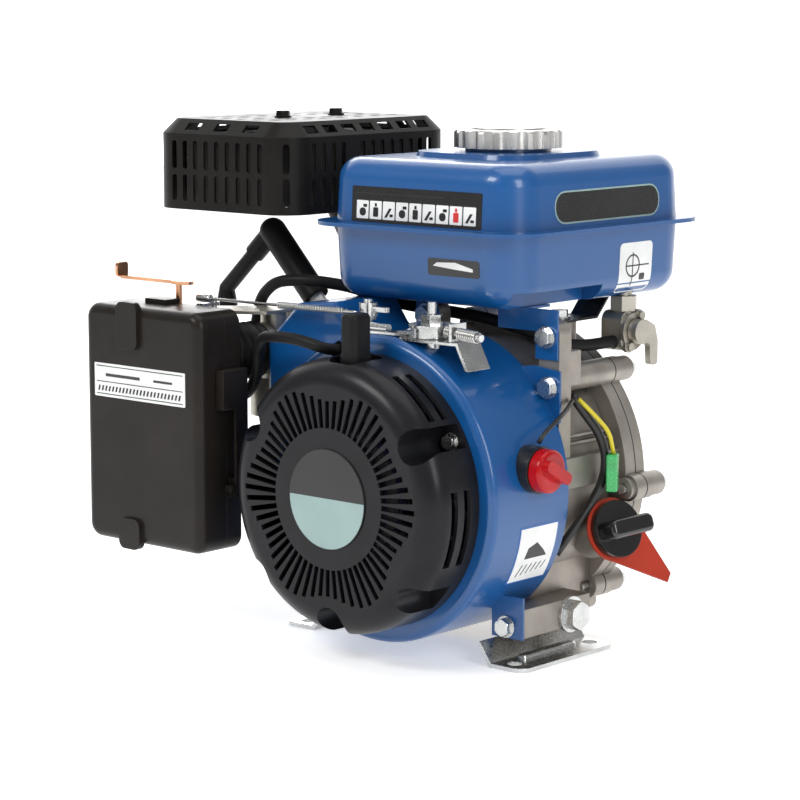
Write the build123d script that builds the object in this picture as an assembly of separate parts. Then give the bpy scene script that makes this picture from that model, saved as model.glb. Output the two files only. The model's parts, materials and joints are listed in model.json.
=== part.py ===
from build123d import *
import os
from math import acos, cos, pi, radians, sin, sqrt, tan

# Small air-cooled single-cylinder four-stroke gasoline engine, as an assembly of separate pieces.
# Millimetres. +Z is up, +Y runs along the crankshaft from the recoil starter to the drive shaft.
# The origin is the centre of the four base bolts, on the plane that the engine stands on.

# ---------------------------------------------------------------- driving dimensions
CRANK_Z = 98.0            # height of the crankshaft
STROKE = 38.0
BORE_R = 27.0
ROD_LENGTH = 72.0
CYLINDER_TILT = 25.0      # degrees above the horizontal, leaning to -X
BORE_Y = 33.0             # plane of the bore's axis
DECK = 110.0              # crankshaft to the top of the barrel, along the bore
HEAD_L = 36.0
HEAD_HALF = 31.0          # half the width of the barrel and head along the crankshaft

BOLT_X, BOLT_Y = 81.0, 35.0     # half the spacing of the base bolts
BOLT_HOLE_R = 4.5
FOOT_T = 2.5
FOOT_X1 = 94.0

CASE_R = 79.0             # drum of the crankcase
RIM_R = 90.0              # flange that the rear cover bolts to
CAVITY_R = 73.0
CASE_Y0, SEAM_Y, GASKET_T = 2.0, 66.0, 1.0
COVER_Y0 = SEAM_Y + GASKET_T
COVER_Y1 = 85.0
LUG_ANGLES = (-3, 43, 110, 192, 228, 312)
LUG_CENTRE_R, LUG_R = 91.0, 8.0
BASE_Z0, BEAM_Z1 = 15.0, 32.0
BEAM_X0, BEAM_X1 = 62.0, 80.0
BEAM_Y0, BEAM_Y1 = -29.0, 36.0

BEARING_R_OUT, BEARING_R_IN, BEARING_W = 23.5, 10.0, 12.0
JOURNAL_R = 9.97
PTO_R, PTO_Y1, PTO_PCD = 7.94, 132.0, 92.1
PTO_FACE_Y = COVER_Y1 + 2.0
KEY_W, KEY_Y0, KEY_Y1 = 4.76, 94.0, 124.0
NOSE_R = 8.5              # front end of the crankshaft, inside the flywheel

WEB_R, WEB_T = 30.0, 9.0
PIN_R, PIN_Y0, PIN_Y1 = 9.5, 26.0, 40.0
GEAR_MODULE = 1.5
CRANK_TEETH, CAM_TEETH = 18, 36
GEAR_Y0, GEAR_Y1 = 52.0, 60.0
CAM_ANGLE = 60.0

SHROUD_R, SHROUD_T = 90.0, 1.5
SHROUD_Y0, DUCT_Y0 = -66.0, -52.0
RECOIL_R, RECOIL_T = 80.0, 2.5
RECOIL_Y0 = -105.0
DISC_R, SLOT_R = 41.0, 65.0      # where the radial slots start and end
SLOT_COUNT = 60
SLOT_WAVE = 4.5           # the slots are longer between the pockets in the rim
BLANK_POCKETS = (318, 222)
RECOIL_BOLT_R = 71.0
RECOIL_BOLT_ANGLES = (30, 150, 270)
PULLEY_R = 32.0
HANDLE_X, HANDLE_Y = 3.0, -84.0
POCKET_Z = 160.0          # floor of the handle's pocket

TANK_X, TANK_Y = -0.5, 56.2
TANK_W, TANK_L = 149.0, 171.5
TANK_LIP = 9.0            # width of the seam flange
CAP_X, CAP_Y = TANK_X, TANK_Y
TANK_Z0, TANK_SEAM, TANK_Z1 = 203.0, 247.0, 286.0
TANK_T, TANK_CORNER = 1.5, 24.0
CAP_R, CAP_Z0, CAP_Z1 = 33.0, 291.0, 303.0
NECK_R = 26.0

BOX_X0, BOX_X1 = -200.0, -100.0
BOX_Y0, BOX_SEAM, BOX_Y1 = -108.0, -86.0, -74.0
BOX_Z0, BOX_Z1 = 51.0, 196.0

GUARD_X0, GUARD_X1 = -217.0, -98.0
GUARD_Y0, GUARD_Y1 = -35.0, 120.0
GUARD_Z0, GUARD_Z1 = 249.0, 305.0
GUARD_T = 1.5
GUARD_CORNER = 20.0
GUARD_BEVEL = 9.0
GUARD_SLOT = 4.2          # width of the slots in the guard's walls
OUTLET_Z = 275.0

CARB_X, CARB_Z = -117.0, 168.0
COCK_X, COCK_Y, COCK_Z = 62.0, 90.0, 182.0
HOSE_Z = 176.0
COCK_HOLE_R = 5.0
GAP = 0.3                 # room between pieces that move past each other
HOLE_GAP = 0.15           # radial room round a bolt
M6, M5 = 3.0, 2.5

CAM_R = GEAR_MODULE * (CRANK_TEETH + CAM_TEETH) / 2
CAM_X = CAM_R * cos(radians(CAM_ANGLE))
CAM_Z = CRANK_Z + CAM_R * sin(radians(CAM_ANGLE))
THROW = STROKE / 2
PIN_TOP = ROD_LENGTH + THROW         # wrist pin along the bore, at top dead centre
CROWN = PIN_TOP + 18.0
PISTON_LENGTH = 32.0
BORE_LOW = CROWN - PISTON_LENGTH - STROKE - 1.0   # just past the skirt at bottom dead centre

# The cylinder's own frame: local Z runs out along the bore, local X to -Y, local Y upwards.
TILT = radians(CYLINDER_TILT)
CYL = Plane(origin=(0, BORE_Y, CRANK_Z), x_dir=(0, -1, 0), z_dir=(-cos(TILT), 0, sin(TILT)))


# ---------------------------------------------------------------- helpers
def prism_x(sketch, x0, x1):
    """Extrudes a sketch drawn in (y, z) from x0 to x1."""
    return extrude(Plane.YZ.offset(x0) * sketch, amount=x1 - x0)


def prism_y(sketch, y0, y1):
    """Extrudes a sketch drawn in (x, z) from y0 to y1."""
    return extrude(Plane.XZ.offset(-y1) * sketch, amount=y1 - y0)


def prism_z(sketch, z0, z1, taper=0.0):
    """Extrudes a sketch drawn in (x, y) from z0 to z1."""
    return extrude(Plane.XY.offset(z0) * sketch, amount=z1 - z0, taper=taper)


def block(x0, x1, y0, y1, z0, z1):
    return Pos((x0 + x1) / 2, (y0 + y1) / 2, (z0 + z1) / 2) * Box(x1 - x0, y1 - y0, z1 - z0)


def rod(start, end, r):
    """A round bar from one point to another."""
    start, end = Vector(*start), Vector(*end)
    length = (end - start).length
    return Plane(origin=start, z_dir=end - start) * Pos(0, 0, length / 2) * Cylinder(r, length)


def cyl_y(r, y0, y1, x=0.0, z=CRANK_Z):
    return rod((x, y0, z), (x, y1, z), r)


def cyl_z(r, z0, z1, x, y):
    return rod((x, y, z0), (x, y, z1), r)


def tube_y(r_out, r_in, y0, y1, x=0.0, z=CRANK_Z):
    return cyl_y(r_out, y0, y1, x, z) - cyl_y(r_in, y0 - 1, y1 + 1, x, z)


def polar(r, angle, x=0.0, z=CRANK_Z):
    """The (x, z) point at a radius and angle round an axis along Y."""
    return x + r * cos(radians(angle)), z + r * sin(radians(angle))


def rounded(w, h, r, x=0.0, y=0.0):
    return Pos(x, y) * RectangleRounded(w, h, r)


def polygon(*points):
    return make_face(Polyline(*points, close=True))


def hex_bolt(at, out, r, length):
    """A flanged hexagon bolt: at is under the head, out points away from the work."""
    head = extrude(RegularPolygon(1.8 * r, 6), amount=1.7 * r)
    head = head & Pos(0, 0, 0.6 * r) * Sphere(2.0 * r)
    shank = Pos(0, 0, -length / 2) * Cylinder(r, length)
    flange = Pos(0, 0, 0.2 * r) * Cylinder(2.15 * r, 0.4 * r)
    return Plane(origin=at, z_dir=out) * (head + flange + shank)


def bolt_hole(at, out, r, length):
    """The room that a bolt's shank needs."""
    depth = length + 2 * HOLE_GAP
    return Plane(origin=at, z_dir=out) * Pos(0, 0, 1 - depth / 2) * Cylinder(r + HOLE_GAP, depth + 2)


def drill(body, bolts):
    for at, out, r, length in bolts:
        body = body - bolt_hole(at, out, r, length)
    return body


def cable(name, points, r, most=1e9):
    """A round cable: straight runs joined by arcs of 0.45 of the shorter run over tan(half turn)."""
    radii = []
    for a, b, c in zip(points, points[1:], points[2:]):
        run_in, run_out = Vector(*b) - Vector(*a), Vector(*c) - Vector(*b)
        turn = radians(run_in.get_angle(run_out))
        radii.append(min(most, 0.45 * min(run_in.length, run_out.length) / tan(turn / 2)))
    path = FilletPolyline(*points, radius=radii)
    start = Vector(*points[0])
    tube = sweep(Plane(origin=start, z_dir=Vector(*points[1]) - start) * Circle(r), path=path)
    expected = pi * r * r * path.length
    print(name, "bends", [round(x, 1) for x in radii], "length", round(path.length, 1),
          "volume ratio", round(tube.volume / expected, 4))
    return tube


def gear(teeth, y0, y1, x, z, bore_r, first_angle):
    """A spur gear with involute flanks and some backlash, with one tooth at first_angle."""
    pitch_r = GEAR_MODULE * teeth / 2
    pressure = radians(20)
    base_r = pitch_r * cos(pressure)
    tip_r = pitch_r + 0.9 * GEAR_MODULE
    root_r = pitch_r - 1.25 * GEAR_MODULE
    backlash = 0.3
    half = pi / (2 * teeth) - backlash / (2 * pitch_r)
    involute_at_pitch = tan(pressure) - pressure

    def half_angle(r):
        roll = acos(min(1.0, base_r / r))
        return half + involute_at_pitch - (tan(roll) - roll)

    low_r = max(base_r, root_r) + 0.01
    steps = [low_r + (tip_r - low_r) * k / 3 for k in range(4)]
    side = [(r * cos(half_angle(r)), r * sin(half_angle(r))) for r in steps]
    foot = (0.9 * root_r * cos(half_angle(low_r)), 0.9 * root_r * sin(half_angle(low_r)))
    mirrored = [(a, -b) for a, b in reversed(side)]
    tooth = polygon(foot, *side, *mirrored, (foot[0], -foot[1]))
    teeth_faces = [Rot(0, 0, first_angle + 360 * k / teeth) * tooth for k in range(teeth)]
    wheel = Circle(root_r) + teeth_faces - Circle(bore_r)
    return prism_y(Pos(x, z) * wheel, y0, y1)


# ---------------------------------------------------------------- fasteners
COVER_LUGS = [polar(LUG_CENTRE_R, a) for a in LUG_ANGLES]
COVER_BOLTS = [((x, COVER_Y1, z), (0, 1, 0), M6, 34.0) for x, z in COVER_LUGS]

UPRIGHT_X = 75.0
UPRIGHT_BOLTS = [((UPRIGHT_X + 1, 0.5, 158.0), (0, -1, 0), M6, 11.0),
                 ((UPRIGHT_X - 1, 0.5, 187.0), (0, -1, 0), M6, 11.0)]
LEFT_EAR = (-16.0, 193.5)
EAR_BOLTS = [((LEFT_EAR[0], -1.0, LEFT_EAR[1]), (0, -1, 0), M6, 9.0)]
LOW_LUG_Z = 22.0
LOW_BOLTS = [((side * 71.0, BEAM_Y0 - 1.5, LOW_LUG_Z), (0, -1, 0), M6, 14.0) for side in (-1, 1)]
STRUT_AT = (40.0, 56.0)
STRUT_BOLTS = [((STRUT_AT[0], STRUT_AT[1], 190.5), (0, 0, 1), M6, 12.0)]
FOOT_BOLTS = [((side * 46, y, BASE_Z0 - FOOT_T), (0, 0, -1), M6, 12.0)
              for side in (-1, 1) for y in (14, 40)]
ROCKER_AT = [(x, y) for x in (-24.5, 24.5) for y in (-22.5, 22.5)]
HEAD_END = DECK + 1 + HEAD_L


def cylinder_point(x, y, z):
    return CYL.from_local_coords(Vector(x, y, z))


ROCKER_BOLTS = [(cylinder_point(x, y, HEAD_END + 3), CYL.z_dir, M6, 13.0) for x, y in ROCKER_AT]
RECOIL_BOLTS = [((*polar(RECOIL_BOLT_R, a)[:1], SHROUD_Y0 - RECOIL_T, polar(RECOIL_BOLT_R, a)[1]),
                 (0, -1, 0), M5, 6.0) for a in RECOIL_BOLT_ANGLES]
GUARD_BOLT_Y = (24.0, 73.0)
GUARD_MID_X = (GUARD_X0 + GUARD_X1) / 2
GUARD_MID_Y = (GUARD_Y0 + GUARD_Y1) / 2
GUARD_BOLTS = [((GUARD_MID_X, y, GUARD_Z1), (0, 0, 1), M5, 8.0) for y in GUARD_BOLT_Y]


def m6_bolts():
    every = (COVER_BOLTS + UPRIGHT_BOLTS + EAR_BOLTS + LOW_BOLTS + STRUT_BOLTS + FOOT_BOLTS
             + ROCKER_BOLTS)
    return [hex_bolt(*bolt) for bolt in every]


def m5_bolts():
    return [hex_bolt(*bolt) for bolt in RECOIL_BOLTS + GUARD_BOLTS]


# ---------------------------------------------------------------- crankcase and cylinder
FILLER_MOUTH = Vector(90.0, 44.0, 70.0)
FILLER_DIR = Vector(0.93, -0.22, 0.29).normalized()


def filler_point(along):
    """A point on the oil filler's axis, along it from the mouth."""
    return FILLER_MOUTH + FILLER_DIR * along


def rim_outline():
    """Outline of the joint between case and cover, in (x, z): round, with a sump and bolt lugs."""
    shape = Pos(0, CRANK_Z) * Circle(RIM_R) + rounded(124, 70, 6, 0, 57)
    shape = shape & Pos(0, CRANK_Z + BASE_Z0) * Rectangle(240, 2 * CRANK_Z)
    for x, z in COVER_LUGS:
        shape = shape + Pos(x, z) * Circle(LUG_R)
    return shape


def cavity_outline():
    return Pos(0, CRANK_Z) * Circle(CAVITY_R) + rounded(108, 60, 5, 0, 56)


def fins(first, last, count, w, h):
    """Cooling fins across the bore, w along the crankshaft and h up."""
    step = (last - first) / (count - 1)
    return [CYL * Pos(0, 0, first + k * step) * extrude(RectangleRounded(w, h, 6), amount=2.0)
            for k in range(count)]


def bearing_seat(y0, y1):
    return cyl_y(BEARING_R_OUT + 5, y0, y1)


def crankcase():
    body = cyl_y(CASE_R, CASE_Y0, SEAM_Y) + prism_y(rim_outline(), SEAM_Y - 9, SEAM_Y)
    body = body + cyl_y(86, CASE_Y0, 6)
    body = body + prism_y(rounded(124, 60, 5, 0, 45), CASE_Y0, SEAM_Y)
    for side in (-1, 1):
        x0, x1 = sorted((side * BEAM_X0, side * BEAM_X1))
        body = body + block(x0, x1, BEAM_Y0, BEAM_Y1, BASE_Z0, BEAM_Z1)
    # raised band along the right-hand side, with two thin ribs above it
    body = body + block(60, CASE_R + 4.5, 8, SEAM_Y - 8, 98, 116)
    for z in (122, 126):
        body = body + block(60, sqrt(CASE_R**2 - (z - CRANK_Z)**2) + 2, 8, SEAM_Y - 8, z, z + 1.6)
    # boss of the top right cover bolt, reaching forward
    lug_x, lug_z = COVER_LUGS[1]
    body = body + cyl_y(LUG_R, 24, SEAM_Y, lug_x, lug_z)
    side_x, side_z = COVER_LUGS[0]
    body = body + cyl_y(LUG_R - 1.5, 53, SEAM_Y, side_x, side_z)
    # upright that carries the shroud and the tank, pads for the left ear and the rear strut
    body = body + prism_y(rounded(15, 92, 7, UPRIGHT_X, 150), CASE_Y0, 13)
    body = body + block(UPRIGHT_X - 2, UPRIGHT_X + 6, 13, 24, 158, 178)
    body = body + prism_y(rounded(16, 36, 7, LEFT_EAR[0], 183), CASE_Y0, 12)
    body = body + cyl_z(10, 170, 189, *STRUT_AT)
    # barrel with its fins
    body = body + CYL * Pos(0, 0, (50 + DECK) / 2) * Cylinder(HEAD_HALF, DECK - 50)
    for plate in fins(86, DECK - 8, 4, 2 * HEAD_HALF, 76):
        body = body + plate
    body = body + CYL * Pos(0, 0, DECK - 5) * extrude(RectangleRounded(60, 66, 8), amount=5)
    for x in (-17, 17):
        body = body + cyl_y(3, -20, 5, x, COIL_POST_Z)
    body = body - prism_y(cavity_outline(), CASE_Y0 + 8, SEAM_Y + 1)
    body = body - CYL * Pos(0, 0, (BORE_LOW + DECK + 2) / 2) * Cylinder(BORE_R, DECK + 2 - BORE_LOW)
    body = body + bearing_seat(CASE_Y0 + 1, CASE_Y0 + 2 + BEARING_W)
    body = body - cyl_y(BEARING_R_OUT, CASE_Y0 + 2, 20) - cyl_y(16, CASE_Y0 - 1, CASE_Y0 + 3)
    body = body + cyl_y(11, CASE_Y0 + 7, 16, CAM_X, CAM_Z) - cyl_y(6.05, 4, 20, CAM_X, CAM_Z)
    body = body + rod(filler_point(-22), filler_point(0), 14)
    body = body - rod(filler_point(-60), filler_point(3), 10.3) - cyl_y(WEB_R + 3, 14, 50)
    body = drill(body, COVER_BOLTS + UPRIGHT_BOLTS + EAR_BOLTS + LOW_BOLTS + STRUT_BOLTS)
    body = drill(body, FOOT_BOLTS)
    return body - rod((BEAM_X1 - 14, 17, 22.5), (BEAM_X1 + 1, 17, 22.5), 5.0 + HOLE_GAP)


def crankcase_cover():
    body = prism_y(rim_outline(), COVER_Y0, COVER_Y0 + 8)
    dish = cyl_y(RIM_R - 3, COVER_Y0, COVER_Y1 - 2)
    dish = fillet(dish.faces().sort_by(Axis.Y)[-1].edges(), 6)
    sump = prism_y(rounded(114, 62, 6, 0, 57), COVER_Y0, COVER_Y1 - 7)
    body = body + (dish - block(-100, 100, 60, 90, 0, BASE_Z0)) + sump
    body = body + cyl_y(56, COVER_Y1 - 4, COVER_Y1)
    for x, z in COVER_LUGS:
        body = body + cyl_y(LUG_R - 0.6, COVER_Y0 + 4, COVER_Y1, x, z)
    for k in range(8):
        arm = Pos(0, 0, CRANK_Z) * Rot(0, 45 * k + 22.5, 0) * block(30, RIM_R - 8, COVER_Y1 - 6,
                                                                   COVER_Y1, -2, 2)
        body = body + arm
    body = body - prism_y(cavity_outline(), COVER_Y0 - 1, COVER_Y1 - 9)
    body = body + bearing_seat(COVER_Y0, COVER_Y1 - 2) + cyl_y(11, COVER_Y0, COVER_Y1 - 4, CAM_X, CAM_Z)
    body = body - cyl_y(6.05, COVER_Y0 - 1, COVER_Y1 - 5, CAM_X, CAM_Z)
    body = body - cyl_y(BEARING_R_OUT, COVER_Y0 - 1, COVER_Y0 + BEARING_W)
    body = body - cyl_y(17, COVER_Y0, COVER_Y1 + 5)
    for k in range(4):
        x, z = polar(PTO_PCD / 2, 45 + 90 * k)
        body = body + cyl_y(9, COVER_Y1 - 6, PTO_FACE_Y, x, z)
        body = body - cyl_y(3.4, COVER_Y1 - 7, PTO_FACE_Y + 1, x, z)
    return drill(body, COVER_BOLTS)


def gaskets():
    """The cover's gasket and the head gasket."""
    seam = prism_y(rim_outline() - cavity_outline(), SEAM_Y, COVER_Y0)
    for x, z in COVER_LUGS:
        seam = seam - cyl_y(M6 + HOLE_GAP, SEAM_Y - 1, COVER_Y0 + 1, x, z)
    head = extrude(RectangleRounded(60, 66, 8), amount=1.0) - Cylinder(BORE_R, 4)
    return [seam, CYL * Pos(0, 0, DECK) * head]


def main_bearings():
    """Two ball bearings, each as its two races with the balls between."""
    pieces = []
    for y0 in (CASE_Y0 + 2, COVER_Y0):
        pieces.append(tube_y(BEARING_R_OUT, 20.0, y0, y0 + BEARING_W))
        pieces.append(tube_y(13.0, BEARING_R_IN, y0, y0 + BEARING_W))
        for k in range(9):
            x, z = polar(16.5, 40 * k)
            pieces.append(Pos(x, y0 + BEARING_W / 2, z) * Sphere(3.45))
    return pieces


def oil_seal():
    return tube_y(17.0, BEARING_R_IN + 0.04, COVER_Y1 - 6, COVER_Y1)


PORT_Y = -6.0
EXHAUST_X, EXHAUST_Y, EXHAUST_Z = -104.0, 52.0, 200.0
PLUG_DIR = Vector(-0.69, 0.0, 0.724).normalized()
PLUG_SEAT = Vector(-102.8, 12.0, 179.1)


def plug_point(along):
    """A point on the spark plug's axis, along it from the seat."""
    return PLUG_SEAT + PLUG_DIR * along


def cylinder_head():
    low = DECK + 1.0
    body = CYL * Pos(0, 0, low) * extrude(RectangleRounded(54, 58, 8), amount=HEAD_L)
    for plate in fins(low + 5, low + HEAD_L - 7, 5, 2 * HEAD_HALF, 74):
        body = body + plate
    body = body + CYL * Pos(0, 0, low) * extrude(RectangleRounded(60, 66, 8), amount=4)
    body = body + CYL * Pos(0, 0, low + HEAD_L - 4) * extrude(RectangleRounded(60, 56, 8), amount=4)
    body = body + cyl_y(11, PORT_Y, 20, CARB_X, CARB_Z)
    body = body + cyl_z(12, 172, EXHAUST_Z, EXHAUST_X, EXHAUST_Y)
    body = body + rod(plug_point(-12), plug_point(0), 9.8)
    body = body - CYL * Pos(0, 0, low + 2) * Cylinder(23, 14)
    body = body - cyl_y(8, PORT_Y - 1, 22, CARB_X, CARB_Z)
    body = body - cyl_z(8, 176, EXHAUST_Z + 1, EXHAUST_X, EXHAUST_Y)
    body = body - rod(plug_point(0), plug_point(50), 11)
    body = body - rod(plug_point(-16), plug_point(1), 5.0 + HOLE_GAP)
    return drill(body, ROCKER_BOLTS)


def rocker_cover():
    flange = extrude(RectangleRounded(60, 56, 9), amount=3.0)
    dome = extrude(RectangleRounded(46, 38, 12), amount=24.0)
    dome = fillet(dome.faces().sort_by(Axis.Z)[-1].edges(), 7)
    hollow = Pos(0, 0, -1) * extrude(RectangleRounded(41, 33, 10), amount=22.0)
    body = CYL * Pos(0, 0, HEAD_END) * (flange + dome - hollow)
    return drill(body, ROCKER_BOLTS)


# ---------------------------------------------------------------- crank train
def crankshaft():
    """The front and rear halves, each with its full-disc web."""
    front = cyl_y(WEB_R, PIN_Y0 - WEB_T, PIN_Y0) + cyl_y(JOURNAL_R, 1, PIN_Y0 - 1)
    front = front + cyl_y(NOSE_R, -57, 2)
    rear = cyl_y(WEB_R, PIN_Y1, PIN_Y1 + WEB_T) + cyl_y(JOURNAL_R, PIN_Y1 + 1, COVER_Y1 + 1)
    rear = rear + cyl_y(PTO_R, COVER_Y1, PTO_Y1 - 0.8)
    rear = rear + Pos(0, PTO_Y1 - 0.4, CRANK_Z) * Rot(-90, 0, 0) * Cone(PTO_R, PTO_R - 0.8, 0.8)
    key_z = CRANK_Z + PTO_R - 2.4
    rear = rear - block(-KEY_W / 2, KEY_W / 2, KEY_Y0, KEY_Y1, key_z, CRANK_Z + 12)
    rear = rear - cyl_y(3.3, PTO_Y1 - 20, PTO_Y1 + 1)
    return [front, rear]


def timing_gear():
    return gear(CRANK_TEETH, GEAR_Y0, GEAR_Y1, 0, CRANK_Z, JOURNAL_R + 0.02, CAM_ANGLE)


def camshaft():
    body = cyl_y(6.0, 5, COVER_Y1 - 6, CAM_X, CAM_Z)
    for y0, lean in ((27, 60), (41, 150)):
        x, z = polar(3.0, lean, CAM_X, CAM_Z)
        lobe = Pos(CAM_X, CAM_Z) * Circle(7.0) + Pos(x, z) * Circle(5.5)
        body = body + prism_y(lobe, y0, y0 + 6)
    wheel = gear(CAM_TEETH, GEAR_Y0 + 0.5, GEAR_Y1 - 0.5, CAM_X, CAM_Z, 5.5,
                 CAM_ANGLE + 180 + 180 / CAM_TEETH)
    for k in range(5):
        x, z = polar(15.5, 72 * k, CAM_X, CAM_Z)
        wheel = wheel - cyl_y(5, GEAR_Y0, GEAR_Y1, x, z)
    return body + wheel


def connecting_rod():
    across = Rot(0, 90, 0)
    body = Pos(0, 0, THROW + ROD_LENGTH / 2) * Box(7, 13, ROD_LENGTH - 16)
    body = body + Pos(0, 0, THROW) * across * Cylinder(14.5, 12)
    body = body + Pos(0, 0, PIN_TOP) * across * Cylinder(9.0, 12)
    body = body - Pos(0, 0, THROW) * across * Cylinder(PIN_R + 0.05, 20)
    return CYL * (body - Pos(0, 0, PIN_TOP) * across * Cylinder(6.05, 20))


def rod_pins():
    """The crank pin and the wrist pin, which stay in the rod's two eyes."""
    across = Rot(0, 90, 0)
    pin = Pos(0, 0, THROW) * across * Cylinder(PIN_R, PIN_Y1 - PIN_Y0 - 2 * GAP)
    wrist = Pos(0, 0, PIN_TOP) * across * Cylinder(6.0, 44)
    # the webs lie either side of the bore's plane, which the crank pin is centred on
    return [CYL * pin, CYL * wrist]


def piston():
    """The piston and its two rings."""
    across = Rot(0, 90, 0)
    outside = Pos(0, 0, CROWN - PISTON_LENGTH / 2) * Cylinder(BORE_R - 0.08, PISTON_LENGTH)
    body = outside - Pos(0, 0, CROWN - 21) * Cylinder(22.0, 30)
    body = body + (outside & Pos(0, 0, PIN_TOP) * across * Cylinder(9.5, 60))
    body = body - Pos(0, 0, PIN_TOP - 3) * Box(13.0, 44, 30)
    body = body - Pos(0, 0, PIN_TOP) * across * Cylinder(6.05, 60)
    pieces = []
    for z in (CROWN - 4.0, CROWN - 8.0):
        body = body - Pos(0, 0, z) * (Cylinder(30, 1.6) - Cylinder(24.4, 1.6))
        pieces.append(CYL * Pos(0, 0, z) * (Cylinder(BORE_R - 0.04, 1.4) - Cylinder(24.6, 2)))
    return [CYL * body, *pieces]


# ---------------------------------------------------------------- flywheel group
COIL_POST_Z = 174.5


def flywheel():
    body = tube_y(69, 56, -40, -16) + tube_y(58, NOSE_R + 0.02, -40, -30)
    body = body + tube_y(17, NOSE_R + 0.02, -46, -14)
    for k in range(6):
        x, z = polar(38, 60 * k)
        body = body - cyl_y(8, -41, -29, x, z)
    return body


def cooling_fan():
    body = tube_y(69, 24, -43, -40)
    blade_count = 18
    for k in range(blade_count):
        blade = Pos(52, 0, 0) * Rot(0, 30, 0) * block(-15, 15, -58, -42, -1.1, 1.1)
        body = body + Pos(0, 0, CRANK_Z) * Rot(0, 360 * k / blade_count, 0) * blade
    return body + tube_y(37, 34, -52, -42)


def starter_cup():
    body = tube_y(30, 27.5, -74, -46) + tube_y(30, NOSE_R + 0.02, -49, -46)
    for k in range(12):
        window = block(26, 31, -70, -58, -4, 4)
        body = body - Pos(0, 0, CRANK_Z) * Rot(0, 30 * k, 0) * window
    return body


def flywheel_nut():
    nut = prism_y(Pos(0, CRANK_Z) * RegularPolygon(12, 6), -60, -51) + cyl_y(14, -52, -49)
    return nut - cyl_y(NOSE_R + 0.02, -57.5, -48)


# ---------------------------------------------------------------- cooling shroud
SWITCH_Y, SWITCH_Z = -30.0, 116.0
LEAD_HOLE = (-28.0, 177.0)


def duct_outline():
    """The cover over the barrel, left of the round part, in (x, z)."""
    duct = polygon((-99, 104), (-99, 176), (-74, 200), (-44, 203), (-33, 188), (0, 160), (0, 60), (-60, 60))
    return fillet(duct.vertices().group_by(Axis.X)[0], 8)


def fan_shroud():
    ring = Pos(0, CRANK_Z) * Circle(SHROUD_R)
    outer = prism_y(ring, SHROUD_Y0, CASE_Y0)
    outer = fillet(outer.faces().sort_by(Axis.Y)[0].edges(), 5)
    duct = prism_y(duct_outline(), DUCT_Y0, CASE_Y0 - 0.5)
    duct = fillet(duct.faces().sort_by(Axis.Y)[0].edges(), 4)
    inner = cyl_y(SHROUD_R - SHROUD_T, SHROUD_Y0 + SHROUD_T, 10)
    inner_duct = prism_y(offset(duct_outline(), -SHROUD_T), DUCT_Y0 + SHROUD_T, 10)
    body = outer + duct - inner - inner_duct
    reach = cyl_y(SHROUD_R - 1, -80, 20)
    body = body + (block(60, 83, BEAM_Y0 - 1.5, BEAM_Y0, BASE_Z0 + GAP, 40) - reach)
    body = body + (block(-83, -60, BEAM_Y0 - 1.5, BEAM_Y0, BASE_Z0 + GAP, 40) - reach)
    tab = polygon((50, 150), (64, 132), (84, 138), (84, 168), (66, 170), (50, 168))
    body = body + (prism_y(tab, 0.5, 2) - reach)
    ear = rounded(16, 30, 7, LEFT_EAR[0], LEFT_EAR[1] - 8)
    body = body + (prism_y(ear, 0.5, 2) - reach)
    body = body - cyl_y(73, SHROUD_Y0 - 5, SHROUD_Y0 + 10)
    for angle in RECOIL_BOLT_ANGLES:
        x, z = polar(RECOIL_BOLT_R, angle)
        body = body + (cyl_y(8, SHROUD_Y0, SHROUD_Y0 + SHROUD_T, x, z))
    x, z = LEAD_HOLE
    body = body - cyl_y(5.5, SHROUD_Y0 - 5, SHROUD_Y0 + 8, x, z)
    body = body - cyl_z(2.56, 175, 190, GOV_X, GOV_Y)
    body = drill(body, UPRIGHT_BOLTS + EAR_BOLTS + LOW_BOLTS + RECOIL_BOLTS)
    return body - rod((80, SWITCH_Y, SWITCH_Z), (100, SWITCH_Y, SWITCH_Z), 6.0)


def ignition_coil():
    core = polygon((-21, 168.0), (-14, 168.0), (-14, 173), (14, 173), (14, 168.0), (21, 168.0),
                   (21, 178), (-21, 178))
    core = prism_y(core, -32, -20)
    winding = prism_y(rounded(24, 13, 3, 0, 176.5), -40, -17)
    core = core - winding
    for x in (-17, 17):
        core = core - cyl_y(2.0, -40, -10, x, COIL_POST_Z)
    return [core, winding]


# ---------------------------------------------------------------- recoil starter
def recoil_profile(inset):
    """Half section of the starter's cover, in (radius, distance behind its front face)."""
    depth = SHROUD_Y0 - RECOIL_Y0
    r = RECOIL_R - inset
    shoulder = 15.0 - inset
    arc_mid = (r - shoulder + shoulder * cos(radians(45)), inset + shoulder * (1 - sin(radians(45))))
    arc = ThreePointArc((r - shoulder, inset), arc_mid, (r, inset + shoulder))
    lines = Polyline((r, inset + shoulder), (r, depth + 2 * inset), (0, depth + 2 * inset),
                     (0, inset), (r - shoulder, inset))
    return make_face(Wire([*arc.edges(), *lines.edges()]))


def turned(profile):
    """Turns a (radius, depth) section about the crankshaft; depth runs along +Y from the front."""
    plane = Plane(origin=(0, RECOIL_Y0, CRANK_Z), x_dir=(1, 0, 0), z_dir=(0, 0, 1))
    return revolve(plane * profile, axis=Axis((0, 0, CRANK_Z), (0, 1, 0)))


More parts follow.
